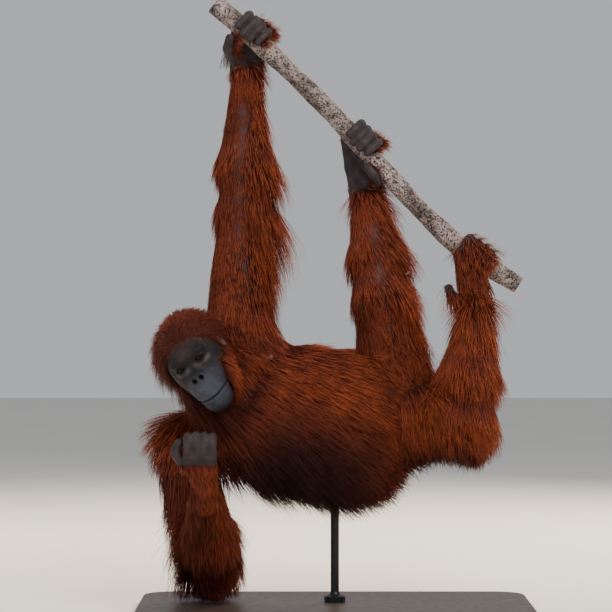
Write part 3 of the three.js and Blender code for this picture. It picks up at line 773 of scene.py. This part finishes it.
def face_relief(p):
    """How far the face's folds stand out of its surface."""
    front = ramp((-p[:, 1] - 38) / 20)
    off = mouth_offset(p)
    width = ramp((46 - np.abs(p[:, 0])) / 8)
    relief = front * width * (-4.8 * bell(off, 1.8) + 2.1 * bell(off - 6, 4) + 2.6 * bell(off + 7, 4.5))
    for side in (-1, 1):
        q = p - eye_centre(side)
        away = np.hypot(q[:, 0], q[:, 2] * 1.15)
        relief += 1.0 * np.cos(away * 1.5) * bell(away - 21, 9) * front * np.clip((6 - q[:, 2]) / 12, 0.2, 1)
    lines = np.cos(p[:, 0] * 1.05 + 0.6 * np.sin(p[:, 2] * 0.3))
    relief += 0.55 * lines * bell(off, 24) * front
    relief += 0.5 * np.cos(p[:, 2] * 0.9) * bell(p[:, 2] - 48, 16) * bell(p[:, 0], 34) * front
    relief += 0.3 * np.sin(p[:, 0] * 0.55 + 2) * np.sin(p[:, 2] * 0.5 + 1) * np.sin(p[:, 1] * 0.4)
    return relief


def bareness(p):
    """1 on the bare face, 0 in the coat, in the head frame."""
    x, y, z = np.abs(p[:, 0]), p[:, 1], p[:, 2]
    upper = 1 - np.sqrt((x / 74) ** 2 + ((z + 4) / 64) ** 2)
    lower = (60 - 0.2 * (-20 - z) - x) / 50
    edge = np.where(z > -20, upper, lower)
    edge = np.minimum(edge, (-18 - y) / 40)
    return ramp(edge / 0.07)


def head_paint(p):
    """Dark skin with painted shade round the eyes, in the nostrils and along the mouth, a greyer muzzle, and
    the colour under the coat elsewhere.
    """
    bare = bareness(p)
    front = ramp((-p[:, 1] - 30) / 30)
    muzzle = bell(np.hypot(p[:, 0] * 0.95, p[:, 2] + 70), 44) * front
    colour = mix(np.tile(FACE_DARK, (len(p), 1)), FACE_MUZZLE, muzzle * 1.1)
    colour = mix(colour, FACE_BROW, bell(np.hypot(p[:, 0] * 0.8, p[:, 2] - 40), 22) * 0.8)
    for side in (-1, 1):
        q = p - eye_centre(side)
        away = np.hypot(q[:, 0], q[:, 2] * 1.2)
        # Painted shade round each eye, darkest close to it, as in a deep socket
        colour = mix(colour, FACE_DARK * 0.55, 0.75 * bell(away - 6, 16) * front)
        under = ramp(-q[:, 2] / 9)
        colour = mix(colour, FACE_LID, 0.7 * under * bell(away - 20, 6) * front)
    # Painted shade in the nostrils
    nose = np.hypot(np.abs(p[:, 0]) - 9.2, p[:, 2] + 30)
    colour = mix(colour, FACE_DARK * 0.35, bell(nose, 5) * front)
    # Painted shade along the line of the mouth
    colour = mix(colour, FACE_DARK * 0.4, bell(mouth_offset(p), 2.2) * front * (np.abs(p[:, 0]) < 44))
    blotch = 0.5 + 0.5 * np.sin(p[:, 0] * 0.21 + 1.3) * np.sin(p[:, 2] * 0.17)
    colour = colour * (0.86 + 0.24 * blotch)[:, None]
    return mix(np.tile(UNDER_COAT, (len(p), 1)), colour, bare)


def head_part():
    """The skin of the head, with the face's folds raised and sunk."""
    points, quads = surface(head_field, (-104, -124, -150), (104, 116, 122), HEAD_CELL)
    normal = unit(slope(head_field, points))
    paint = head_paint(points)
    points = points + normal * face_relief(points)[:, None]
    return to_world(points), quads, paint


def eye_paint(reach):
    """The eye's colour by the distance from the middle of its pupil."""
    iris = mix(srgb(40, 22, 12), srgb(14, 8, 6), bell(reach - 6.4, 1.5) + bell(reach - 3.2, 0.8))
    colour = mix(np.tile(srgb(22, 16, 14), (len(reach), 1)), iris, (7.0 - reach) / 0.7)
    colour = mix(colour, srgb(4, 3, 3), (3.6 - reach) / 0.5)
    return mix(colour, srgb(18, 13, 12), (reach - 8) / 3)


def build_eyes():
    """Two eyeballs that look the same way, each with a low dome over its iris."""
    material = eye_material()
    gaze = unit(to_head((HEAD_CENTRE + GAZE)[None])[0])
    rows, columns = 72, 96
    phi, theta = np.meshgrid(
        np.linspace(0, math.pi, rows), np.linspace(0, 2 * math.pi, columns, endpoint=False), indexing="ij"
    )
    side_axis = unit(np.cross(gaze, at(0, 0, 1)))
    up_axis = np.cross(side_axis, gaze)
    for side, name in ((1, "left"), (-1, "right")):
        radius = EYE["radius"] + 0.7 * bell(phi, 0.45)
        ring = (
            gaze * np.cos(phi)[..., None]
            + side_axis * (np.sin(phi) * np.cos(theta))[..., None]
            + up_axis * (np.sin(phi) * np.sin(theta))[..., None]
        )
        points = (eye_centre(side) + ring * radius[..., None]).reshape(-1, 3)
        r, c = np.meshgrid(np.arange(rows - 1), np.arange(columns), indexing="ij")
        nxt = (c + 1) % columns
        here, below = r * columns, (r + 1) * columns
        quads = np.stack([here + nxt, below + nxt, below + c, here + c], -1)
        colour = eye_paint((phi * EYE["radius"]).reshape(-1))
        mesh = make_mesh("eye_" + name, to_world(points), quads.reshape(-1, 4), colour)
        add_piece("eyeball_" + name, mesh, material, ["eye_" + name])


def build_ears(material):
    for side, name in ((1, "left"), (-1, "right")):
        centre = at(side * EAR["side"], EAR["depth"], EAR["height"])
        field = blended([
            ellipsoid(centre, (6, 13, 22)),
            ellipsoid(centre + at(side * 1, 1, -16), (5, 7, 7)),
        ], 2)
        field = carved(field, ellipsoid(centre + at(side * 7, -2, 1), (6, 8, 14)), 1.5)
        points, quads = surface(field, centre - at(16, 24, 34), centre + at(16, 24, 34), EAR_CELL)
        paint = np.tile(EAR_SKIN, (len(points), 1))
        mesh = make_mesh("ear_" + name, to_world(points), quads, paint)
        add_piece("pinna_" + name, mesh, material, ["ear_" + name])


# The skin
def build_skin(material):
    """One skin of body, head, hands and feet. Gives the three back for the coat."""
    points, quads = surface(body_field, (-470, -160, 60), (420, 180, 1400), BODY_CELL)
    normal = unit(slope(body_field, points))
    paint = mix(np.tile(UNDER_COAT, (len(points), 1)), THIN_SKIN, thinness(points, normal))
    paint = mix(paint, NIPPLE_SKIN, 1.6 * bell(lengths(points - NIPPLE), 15))
    body = (points, quads, paint)
    parts = [body, head_part()] + [extremity(name) for name in EXTREMITIES]
    mesh = make_mesh("skin", *stacked(parts))
    flesh = list(FLESH) + list(EXTREMITIES) + ["head"]
    add_piece("skin", mesh, material, flesh)
    add_piece("nails", make_mesh("nails", *nail_meshes()), material)
    return body, parts[1], dict(zip(EXTREMITIES, parts[2:]))


# The coat
SIDES = 3
RINGS = 3
STATIONS = np.array([0, 0.4, 0.76, 1.0])
TAPER = np.array([0.75, 1.0, 0.62])
FLATNESS = 0.5
ROOT_DEPTH = 1.5
PATCH = 0.003

# Every ninth tuft leads a strand, and its neighbours lean this far towards it
LEADER_STEP = 9
STRAND_PULL = 0.34

# No hair hangs through the stand's base, which is 22 thick
LOWEST_HAIR = 25

# How many tufts, and how wide
HEAD_TUFTS, HEAD_TUFT_WIDTH = 12000, 1.6
HAND_TUFTS, HAND_TUFT_WIDTH = 2800, 1.7
BODY_TUFT_WIDTH = 2.2


def tuft_count(full):
    return full


def scatter(points, quads, count, weight):
    """Even random places on a skin, thinned by a weight."""
    tri = triangles_of(quads)
    a, b, c = points[tri[:, 0]], points[tri[:, 1]], points[tri[:, 2]]
    area = lengths(np.cross(b - a, c - a))
    chance = area * weight((a + b + c) / 3)
    pick = rng.choice(len(tri), count, p=chance / chance.sum())
    u, v = rng.random(count), rng.random(count)
    flip = u + v > 1
    u[flip], v[flip] = 1 - u[flip], 1 - v[flip]
    return a[pick] + u[:, None] * (b[pick] - a[pick]) + v[:, None] * (c[pick] - a[pick])


def gathered(paths, roots):
    """Paths that lean towards the path of the nearest leading tuft."""
    leaders = np.arange(0, len(roots), LEADER_STEP)
    tree = KDTree(len(leaders))
    for k, leader in enumerate(leaders):
        tree.insert(roots[leader], k)
    tree.balance()
    chosen = leaders[[tree.find(root)[1] for root in roots]]
    pull = (STRAND_PULL * STATIONS**1.4)[None, :, None]
    return paths + (paths[chosen] - paths) * pull


def tuft_paths(roots, normal, lie, length, lift, droop):
    """The line of each tuft, which rises from the skin and bends over along the lie."""
    count = len(roots)
    length = np.broadcast_to(length, count) * rng.uniform(0.72, 1.2, count)
    lift = np.broadcast_to(lift, count) * rng.uniform(0.6, 1.4, count)
    flow = lie + rng.normal(0, 0.16, (count, 3))
    flow = unit(flow - normal * (flow * normal).sum(1)[:, None])
    t = STATIONS[None, :, None]
    reach = length[:, None, None]
    rise = lift[:, None, None] * (t - 0.42 * t**2)
    paths = roots[:, None] - normal[:, None] * ROOT_DEPTH + flow[:, None] * reach * t
    paths = paths + normal[:, None] * reach * rise
    paths = paths + DOWN * reach * np.broadcast_to(droop, count)[:, None, None] * t**2
    wave = np.cross(flow, normal)[:, None] * reach * (rng.normal(0, 0.05, count)[:, None, None])
    paths = paths + wave * np.sin(math.pi * t * rng.uniform(0.8, 2.0, count)[:, None, None])
    paths = gathered(paths, roots)
    paths[:, :, 2] = np.maximum(paths[:, :, 2], LOWEST_HAIR)
    return paths


def tuft_points(paths, normal, width):
    """Rings of three points along each path, and one point at its tip."""
    count = len(paths)
    course = unit(np.gradient(paths, axis=1))
    side = unit(np.cross(course, normal[:, None] + 0 * course))
    out = np.cross(side, course)
    thick = width * rng.uniform(0.75, 1.25, count)
    half = (thick[:, None] * TAPER[None] / 2)[..., None]
    middle = paths[:, :RINGS]
    sideways = side[:, :RINGS] * half
    outward = out[:, :RINGS] * half * FLATNESS
    rings = np.stack([middle + sideways, middle + outward, middle - sideways], 2)
    return np.concatenate([rings.reshape(count, -1, 3), paths[:, RINGS:]], 1)


def tuft_faces(count, each):
    """Triangles of every tuft: its sides, its tip and its hidden end."""
    faces = []
    for r in range(RINGS - 1):
        for s in range(SIDES):
            a, b = r * SIDES + s, r * SIDES + (s + 1) % SIDES
            faces += [(a, b, b + SIDES), (a, b + SIDES, a + SIDES)]
    last = (RINGS - 1) * SIDES
    faces += [(last + s, last + (s + 1) % SIDES, each - 1) for s in range(SIDES)]
    faces.append((2, 1, 0))
    return (np.array(faces)[None] + (np.arange(count) * each)[:, None, None]).reshape(-1, 3)


def tuft_paint(roots, along, tone):
    """Hair that is dark at its root and lighter to its tip, in soft patches over the body, with painted
    light and shade from its tone.
    """
    count, each = len(roots), len(along)
    patches = 1 + 0.13 * np.sin(roots @ at(0.021, 0.017, 0.006)) * np.sin(roots @ at(-0.008, 0.013, 0.027))
    shade = (rng.uniform(0.78, 1.22, count) * patches)[:, None, None]
    tone = tone[:, None]
    dark_to_mid = mix(np.tile(HAIR_ROOT, (count, each, 1)), HAIR_MID, np.tile(along * 2.2, (count, 1)))
    # Painted light and shade: a high tone lightens the tips, and a low tone darkens the hair towards
    # HAIR_DARK
    colour = mix(dark_to_mid, HAIR_TIP, (along[None] - 0.35) * 1.3 * (0.35 + tone))
    colour = mix(colour, HAIR_DARK, 0.9 * (0.5 - tone) * 2 * np.ones((1, each)))
    return (colour * shade).reshape(-1, 3)


def tufts(roots, normal, lie, length, lift, droop, width, tone, place):
    """Flat tapered tufts: points, triangles, paint, and a small patch of the unwrap for each."""
    points = tuft_points(tuft_paths(roots, normal, lie, length, lift, droop), normal, width)
    count, each = points.shape[:2]
    along = np.concatenate([np.repeat(STATIONS[:RINGS], SIDES), [1.0]])
    around = np.concatenate([np.tile(np.arange(SIDES) / SIDES, RINGS), [0.5]])
    patch = np.stack([around, along], 1) * PATCH
    uv = (place[:, None] * (1 - 2 * PATCH) + patch[None]).reshape(-1, 2)
    return points.reshape(-1, 3), tuft_faces(count, each), tuft_paint(roots, along, tone), uv


def unwrapped(p, start, end, tile, tiles):
    """Where a point falls on the flat unwrap of its limb, cut along one line."""
    axis = end - start
    share = np.clip((p - start) @ axis / (axis @ axis), -0.2, 1.2)
    u = unit(np.cross(axis, at(0, -1, 0)))
    v = unit(np.cross(axis, u))
    angle = np.arctan2((p - start) @ v, (p - start) @ u) / (2 * math.pi) + 0.5
    return np.stack([(tile + 0.02 + 0.96 * angle) / tiles, 0.02 + 0.96 * (share + 0.2) / 1.4], 1)


AXES = {
    "torso": (at(-330, 25, 520), at(240, 35, 490)),
    "neck": (NECK_BASE, HEAD_BASE),
    **{name: values[:2] for name, values in LIMBS.items()},
}


class Spots:
    """Places on one part of the body: where they are, how they face and how far along they lie."""

    def __init__(self, name, p, n):
        start, end = AXES[name]
        self.p = p
        self.n = n
        self.outward = unit(end - start)
        self.share = ramp((p - start) @ (end - start) / ((end - start) @ (end - start)))
        self.right = ramp(n[:, 0])
        self.left = ramp(-n[:, 0])
        self.front = ramp(-n[:, 1])
        # Painted light: the coat is lighter where it faces up and where it faces +X, the side the key and
        # rim lights come from
        self.tone = 0.5 + 0.25 * n[:, 2] + 0.12 * n[:, 0]


# Each flow gives the coat's lie, length, lift, droop and tone at some spots. The tone holds painted light
# and shade besides the coat's own colour.
def trunk_flow(s):
    x, z = s.p[:, 0], s.p[:, 2]
    low = ramp(-s.n[:, 2] - 0.2)
    high = ramp(s.n[:, 2] - 0.3)
    # Painted shade: the lower chest and belly in front are darker, and the tone below also darkens the
    # underside
    belly_shade = 0.5 * bell(np.hypot((x + 130) / 190, (z - 405) / 105), 1) * s.front
    at_arm = ramp((-285 - x) / 50) * ramp((540 - z) / 60)
    at_raised = ramp((z - 630) / 60) * ramp((-120 - x) / 60)
    lie = np.stack([0.95 - 0.35 * low, np.zeros(len(low)), -0.45 - 0.6 * low], 1)
    lie = mix(lie, at(-0.3, 0, -1), at_arm)
    lie = mix(lie, at(0.4, 0, -1), at_raised)
    lift = 0.22 + 0.3 * low + 0.2 * high + 0.2 * at_arm
    return lie, 88 + 44 * low, lift, 0.08 + 0.26 * low, s.tone - 0.2 * low - belly_shade


def arm_left_flow(s):
    z = s.p[:, 2]
    elbow = bell(z - ELBOW_LEFT[2] - 10, 110) * s.right
    lie = DOWN - 0.4 * s.outward + at(0.25, 0, 0) * s.right[:, None]
    length = 98 - 38 * bell(z - WRIST_LEFT[2], 120)
    length = length * (0.74 + 0.4 * s.right) * (1 - 0.4 * s.front) + 34 * elbow
    # Painted light: the side that faces +X is lighter, as if lit from behind
    return lie, length, 0.24 + 0.4 * s.right + 0.3 * elbow, 0.12, s.tone + 0.3 * s.right


def upper_arm_right_flow(s):
    lie = DOWN + 0.8 * s.outward - at(0.3, 0, 0) * s.left[:, None]
    return lie, 98 + 22 * s.left, 0.34 + 0.4 * s.left, 0.05, s.tone - 0.1


def forearm_right_flow(s):
    return -s.outward + 0.6 * DOWN, 62 + 44 * (1 - s.share), 0.28, 0.12, s.tone


def leg_left_flow(s):
    length = (80 + 26 * s.right) * (1 - 0.25 * s.front)
    # Painted light: the side that faces +X is lighter, as if lit from behind
    return DOWN + at(0.45, 0, 0), length, 0.18 + 0.5 * s.right, 0.12, s.tone + 0.22 * s.right


def thigh_right_flow(s):
    under = ramp(-s.n[:, 2])
    # Painted shade underneath, and painted light on the side that faces +X
    tone = s.tone + 0.15 * s.right - 0.4 * under
    return DOWN + at(0.35, 0, 0), 88, 0.28 + 0.2 * s.right, 0.1 + 0.15 * under, tone


def shank_right_flow(s):
    # Painted light: the side that faces +X is lighter, as if lit from behind
    return DOWN, 88, 0.28 + 0.2 * s.right, 0.1, s.tone + 0.15 * s.right


FLOWS = {
    "torso": trunk_flow,
    "neck": trunk_flow,
    "upper_arm_left": arm_left_flow,
    "forearm_left": arm_left_flow,
    "upper_arm_right": upper_arm_right_flow,
    "forearm_right": forearm_right_flow,
    "thigh_left": leg_left_flow,
    "shank_left": leg_left_flow,
    "thigh_right": thigh_right_flow,
    "shank_right": shank_right_flow,
}


# Each coat piece's body parts, its number of tufts and which way its skin faces
COAT_PIECES = {
    "coat_trunk_front": (["torso", "neck"], 12000, lambda n: n[:, 1] < 0.1),
    "coat_trunk_back": (["torso", "neck"], 12000, lambda n: n[:, 1] >= 0.1),
    "coat_arm_left": (["upper_arm_left", "forearm_left"], 12000, None),
    "coat_arm_right": (["upper_arm_right", "forearm_right"], 11000, None),
    "coat_leg_left": (["thigh_left", "shank_left"], 11000, None),
    "coat_leg_right": (["thigh_right", "shank_right"], 12000, None),
}


def build_coat(name, body, material):
    """One piece of the body's coat, with tufts rooted all over its part of the skin."""
    parts, full_count, keep = COAT_PIECES[name]
    count = tuft_count(full_count)
    points, quads, _ = body
    owner = part_of(points)
    wanted = np.isin(owner, [PART_NAMES.index(part) for part in parts]).astype(float)
    if keep:
        wanted *= keep(unit(slope(body_field, points)))
    kept = quads[wanted[quads].max(1) > 0]

    def weight(p):
        inside_head = blended(FACE_FLESH, FACE_BLEND)(to_head(p)) < -4
        bare = ramp(1.6 * bell(lengths(p - NIPPLE), 14))
        thin = thinness(p, unit(slope(body_field, p)))
        return ~inside_head * (1 - bare) * (1 - 0.6 * thin)

    roots = scatter(points, kept, count, weight)
    normal = unit(slope(body_field, roots))
    owner = part_of(roots)
    short = 1 - 0.5 * thinness(roots, normal)
    rows = {key: np.zeros(count) for key in ("length", "lift", "droop", "tone")}
    lie, place = np.zeros((count, 3)), np.zeros((count, 2))
    for number in np.unique(owner):
        some = owner == number
        part = PART_NAMES[number]
        flow = FLOWS[part](Spots(part, roots[some], normal[some]))
        lie[some] = flow[0]
        for key, values in zip(rows, flow[1:]):
            rows[key][some] = values
        tile = parts.index(part) if part in parts else 0
        place[some] = unwrapped(roots[some], *AXES[part], tile, len(parts))
    length, lift, droop, tone = rows.values()
    made = tufts(roots, normal, lie, length * short, lift, droop, BODY_TUFT_WIDTH, tone, place)
    add_piece(name, make_mesh(name, *made), material)


def head_coat(head, material):
    """Short hair swept back on the crown, and a beard and cheek hair that hang."""
    points, quads, _ = head

    def weight(p):
        q = to_head(p)
        ear = np.hypot(q[:, 1] - EAR["depth"], q[:, 2] - EAR["height"])
        hidden = (body_field(p) < -6) | ((ear < 10) & (np.abs(q[:, 0]) > 50))
        return (1 - bareness(q)) * ~hidden

    roots = scatter(points, quads, tuft_count(HEAD_TUFTS), weight)
    q = to_head(roots)
    normal = unit(slope(head_field, q, 3.0))
    side = np.sign(q[:, 0]) * np.minimum(np.abs(q[:, 0]) / 60, 1)
    low = ramp((10 - q[:, 2]) / 60)
    lie = np.stack([0.5 * side, 0.9 - 0.5 * low, 0.1 - 1.15 * low], 1)
    near_face = ramp((q[:, 1] + 70) / 90)
    beard = low * ramp((-q[:, 1] + 10) / 40)
    right = ramp((-q[:, 0] - 15) / 45)
    cheek = ramp((q[:, 0] - 22) / 20) * ramp((20 - q[:, 1]) / 30) * low
    length = 13 + 48 * near_face * (1 - 0.3 * low) + 38 * beard + 58 * right * near_face
    # Painted light: hair that faces up is lighter, and the lower hair on the left cheek carries a painted
    # orange highlight
    tone = 0.06 + 0.2 * near_face + 0.12 * normal[:, 2] + 0.8 * cheek + 0.1 * beard
    place = unwrapped(q, at(0, 0, 110), at(0, 0, -130), 0, 1)
    lie_world = unit(lie @ HEAD_TURN.T) + DOWN * (0.25 + 1.1 * right)[:, None]
    normal_world = normal @ HEAD_TURN.T
    lift = 0.34 + 0.12 * beard
    made = tufts(roots, normal_world, lie_world, length, lift, 0.12, HEAD_TUFT_WIDTH, tone, place)
    add_piece("coat_head", make_mesh("coat_head", *made), material)


# Which way each back faces, how far up the hair reaches, how long it is and how it flares
BACKS = {
    "hand_left": (at(0.45, 0.9, 0.2), 150, 50, 1),
    "foot_left": (at(0.5, 0.9, 0.2), 172, 54, 1),
    "foot_right": (at(0.15, -1, 0.3), 196, 50, 0),
    "hand_right": (at(0.5, -0.6, -0.4), 70, 40, 0),
}


def back_hair(name, end, tile):
    """Hair on the back of one hand or foot, and all round its joint."""
    points, quads, _ = end
    back, reach, long, flare = BACKS[name]
    field, joint = EXTREMITIES[name][0], END_JOINTS[name]
    count = tuft_count(HAND_TUFTS)
    point_normal = unit(slope(field, points))
    facing = point_normal @ unit(back)
    height = (points - joint)[:, 2]
    turned_back = point_normal[:, 1] * np.sign(back[1]) > -0.05
    hairy = ramp((facing - 0.02) / 0.3) * ramp((reach - height) / 30) * turned_back
    hairy = np.maximum(hairy, ramp((14 - height) / 12))
    kept = quads[hairy[quads].mean(1) > 0.5]
    roots = scatter(points, kept, count, lambda p: np.ones(len(p)))
    normal = unit(slope(field, roots))
    root_height = (roots - joint)[:, 2]
    high = ramp((root_height - 45) / 40)
    lie = mix(np.tile(at(0.25, 0, -1), (count, 1)), at(0.9, 0.3, 0.2), flare * high)
    length = long * (0.6 + 0.4 * ramp(1 - root_height / reach))
    place = unwrapped(roots, joint, joint + at(0, 0, 140), tile, len(BACKS))
    # Painted light: hair that faces +X is lighter, and hair that faces -X darker
    tone = 0.55 + 0.2 * normal[:, 0]
    return tufts(roots, normal, lie, length, 0.4, 0.1, HAND_TUFT_WIDTH, tone, place)


def extremity_coat(ends, material):
    """The hair of both hands and both feet as one piece."""
    made = [back_hair(name, end, tile) for tile, (name, end) in enumerate(ends.items())]
    points, faces, paint = stacked([part[:3] for part in made])
    mesh = make_mesh("coat_hands_feet", points, faces, paint, np.concatenate([part[3] for part in made]))
    add_piece("coat_hands_feet", mesh, material)


# Stand
def dress_stand():
    """Stained board and black metal on the stand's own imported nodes."""
    board = plain_material("stand_board", srgb(54, 44, 40), 0.42, 0.0, 30, 0.3, (1, 9, 1))
    metal = plain_material("stand_metal", srgb(34, 34, 36), 0.38, 0.6, 80, 0.12)
    for name, material in (("stand_base", board), ("stand_rod_body", metal)):
        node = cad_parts[name]
        node.data.materials.clear()
        node.data.materials.append(material)


# Camera, floor and light, in metres
PICTURE_WIDTH = 1.530
CAMERA_DISTANCE = 6.0
PICTURE_CENTRE = (-0.0725, 0.766)
SENSOR = 36.0
FLOOR_SIZE = 28.0

# Each light's place, target, width, power and colour
LIGHTS = {
    "key": ((1.4, -3.0, 4.0), (-0.1, 0, 0.8), 1.8, 190, (1.0, 0.96, 0.9)),
    "fill": ((-3.2, -3.0, 1.4), (-0.1, 0, 0.7), 2.4, 30, (0.9, 0.95, 1.0)),
    "rim": ((1.8, 2.6, 2.6), (0, 0, 0.9), 1.4, 320, (1.0, 0.84, 0.66)),
    "rim_left": ((-2.4, 2.4, 2.2), (-0.2, 0, 0.8), 1.2, 150, (1.0, 0.84, 0.66)),
}


def add_area(name, place, target, size, power, colour):
    """A square light. Only lights in front of the animal show as highlights."""
    data = bpy.data.lights.new(name, "AREA")
    data.energy = power
    data.size = size
    data.color = colour
    light = new_object(name, data)
    light.location = place
    heading = np.array(target) - np.array(place)
    tilt = math.atan2(math.hypot(heading[0], heading[1]), -heading[2])
    light.rotation_euler = (tilt, 0, math.atan2(heading[1], heading[0]) - math.pi / 2)
    light.visible_glossy = place[1] < 0


def build_floor():
    half = FLOOR_SIZE / 2
    corners = np.array([(-half, -half, 0), (half, -half, 0), (half, half, 0), (-half, half, 0)]) / MM
    mesh = make_mesh("floor", corners, np.array([[0, 1, 2, 3]]))
    mesh.materials.append(plain_material("floor", srgb(214, 212, 208), 0.75, 0.0, 3, 0.02))
    new_object("floor", mesh)


def build_world():
    world = bpy.data.worlds.new("studio")
    bpy.context.scene.world = world
    world.use_nodes = True
    set_inputs(world.node_tree.nodes["Background"], {"Color": (0.80, 0.82, 0.84, 1), "Strength": 0.62})


def build_camera():
    data = bpy.data.cameras.new("camera")
    data.lens = SENSOR * CAMERA_DISTANCE / PICTURE_WIDTH
    data.sensor_width = SENSOR
    camera = new_object("camera", data)
    camera.location = (PICTURE_CENTRE[0], -CAMERA_DISTANCE, PICTURE_CENTRE[1])
    camera.rotation_euler = (math.pi / 2, 0, 0)
    bpy.context.scene.camera = camera


skin_material = painted_material(
    "bare_skin", roughness=0.62, scale=70, spread=0.18, specular=0.22, bump_scale=420, bump=0.6
)
coat_material = painted_material("coat", roughness=0.62, scale=26, spread=0.22, specular=0.16)
body_part, head_mesh, end_parts = build_skin(skin_material)
build_eyes()
build_ears(skin_material)
build_branch()
for piece_name in COAT_PIECES:
    build_coat(piece_name, body_part, coat_material)
head_coat(head_mesh, coat_material)
extremity_coat(end_parts, coat_material)
dress_stand()
build_floor()
build_world()
for light_name, light_values in LIGHTS.items():
    add_area(light_name, *light_values)
build_camera()
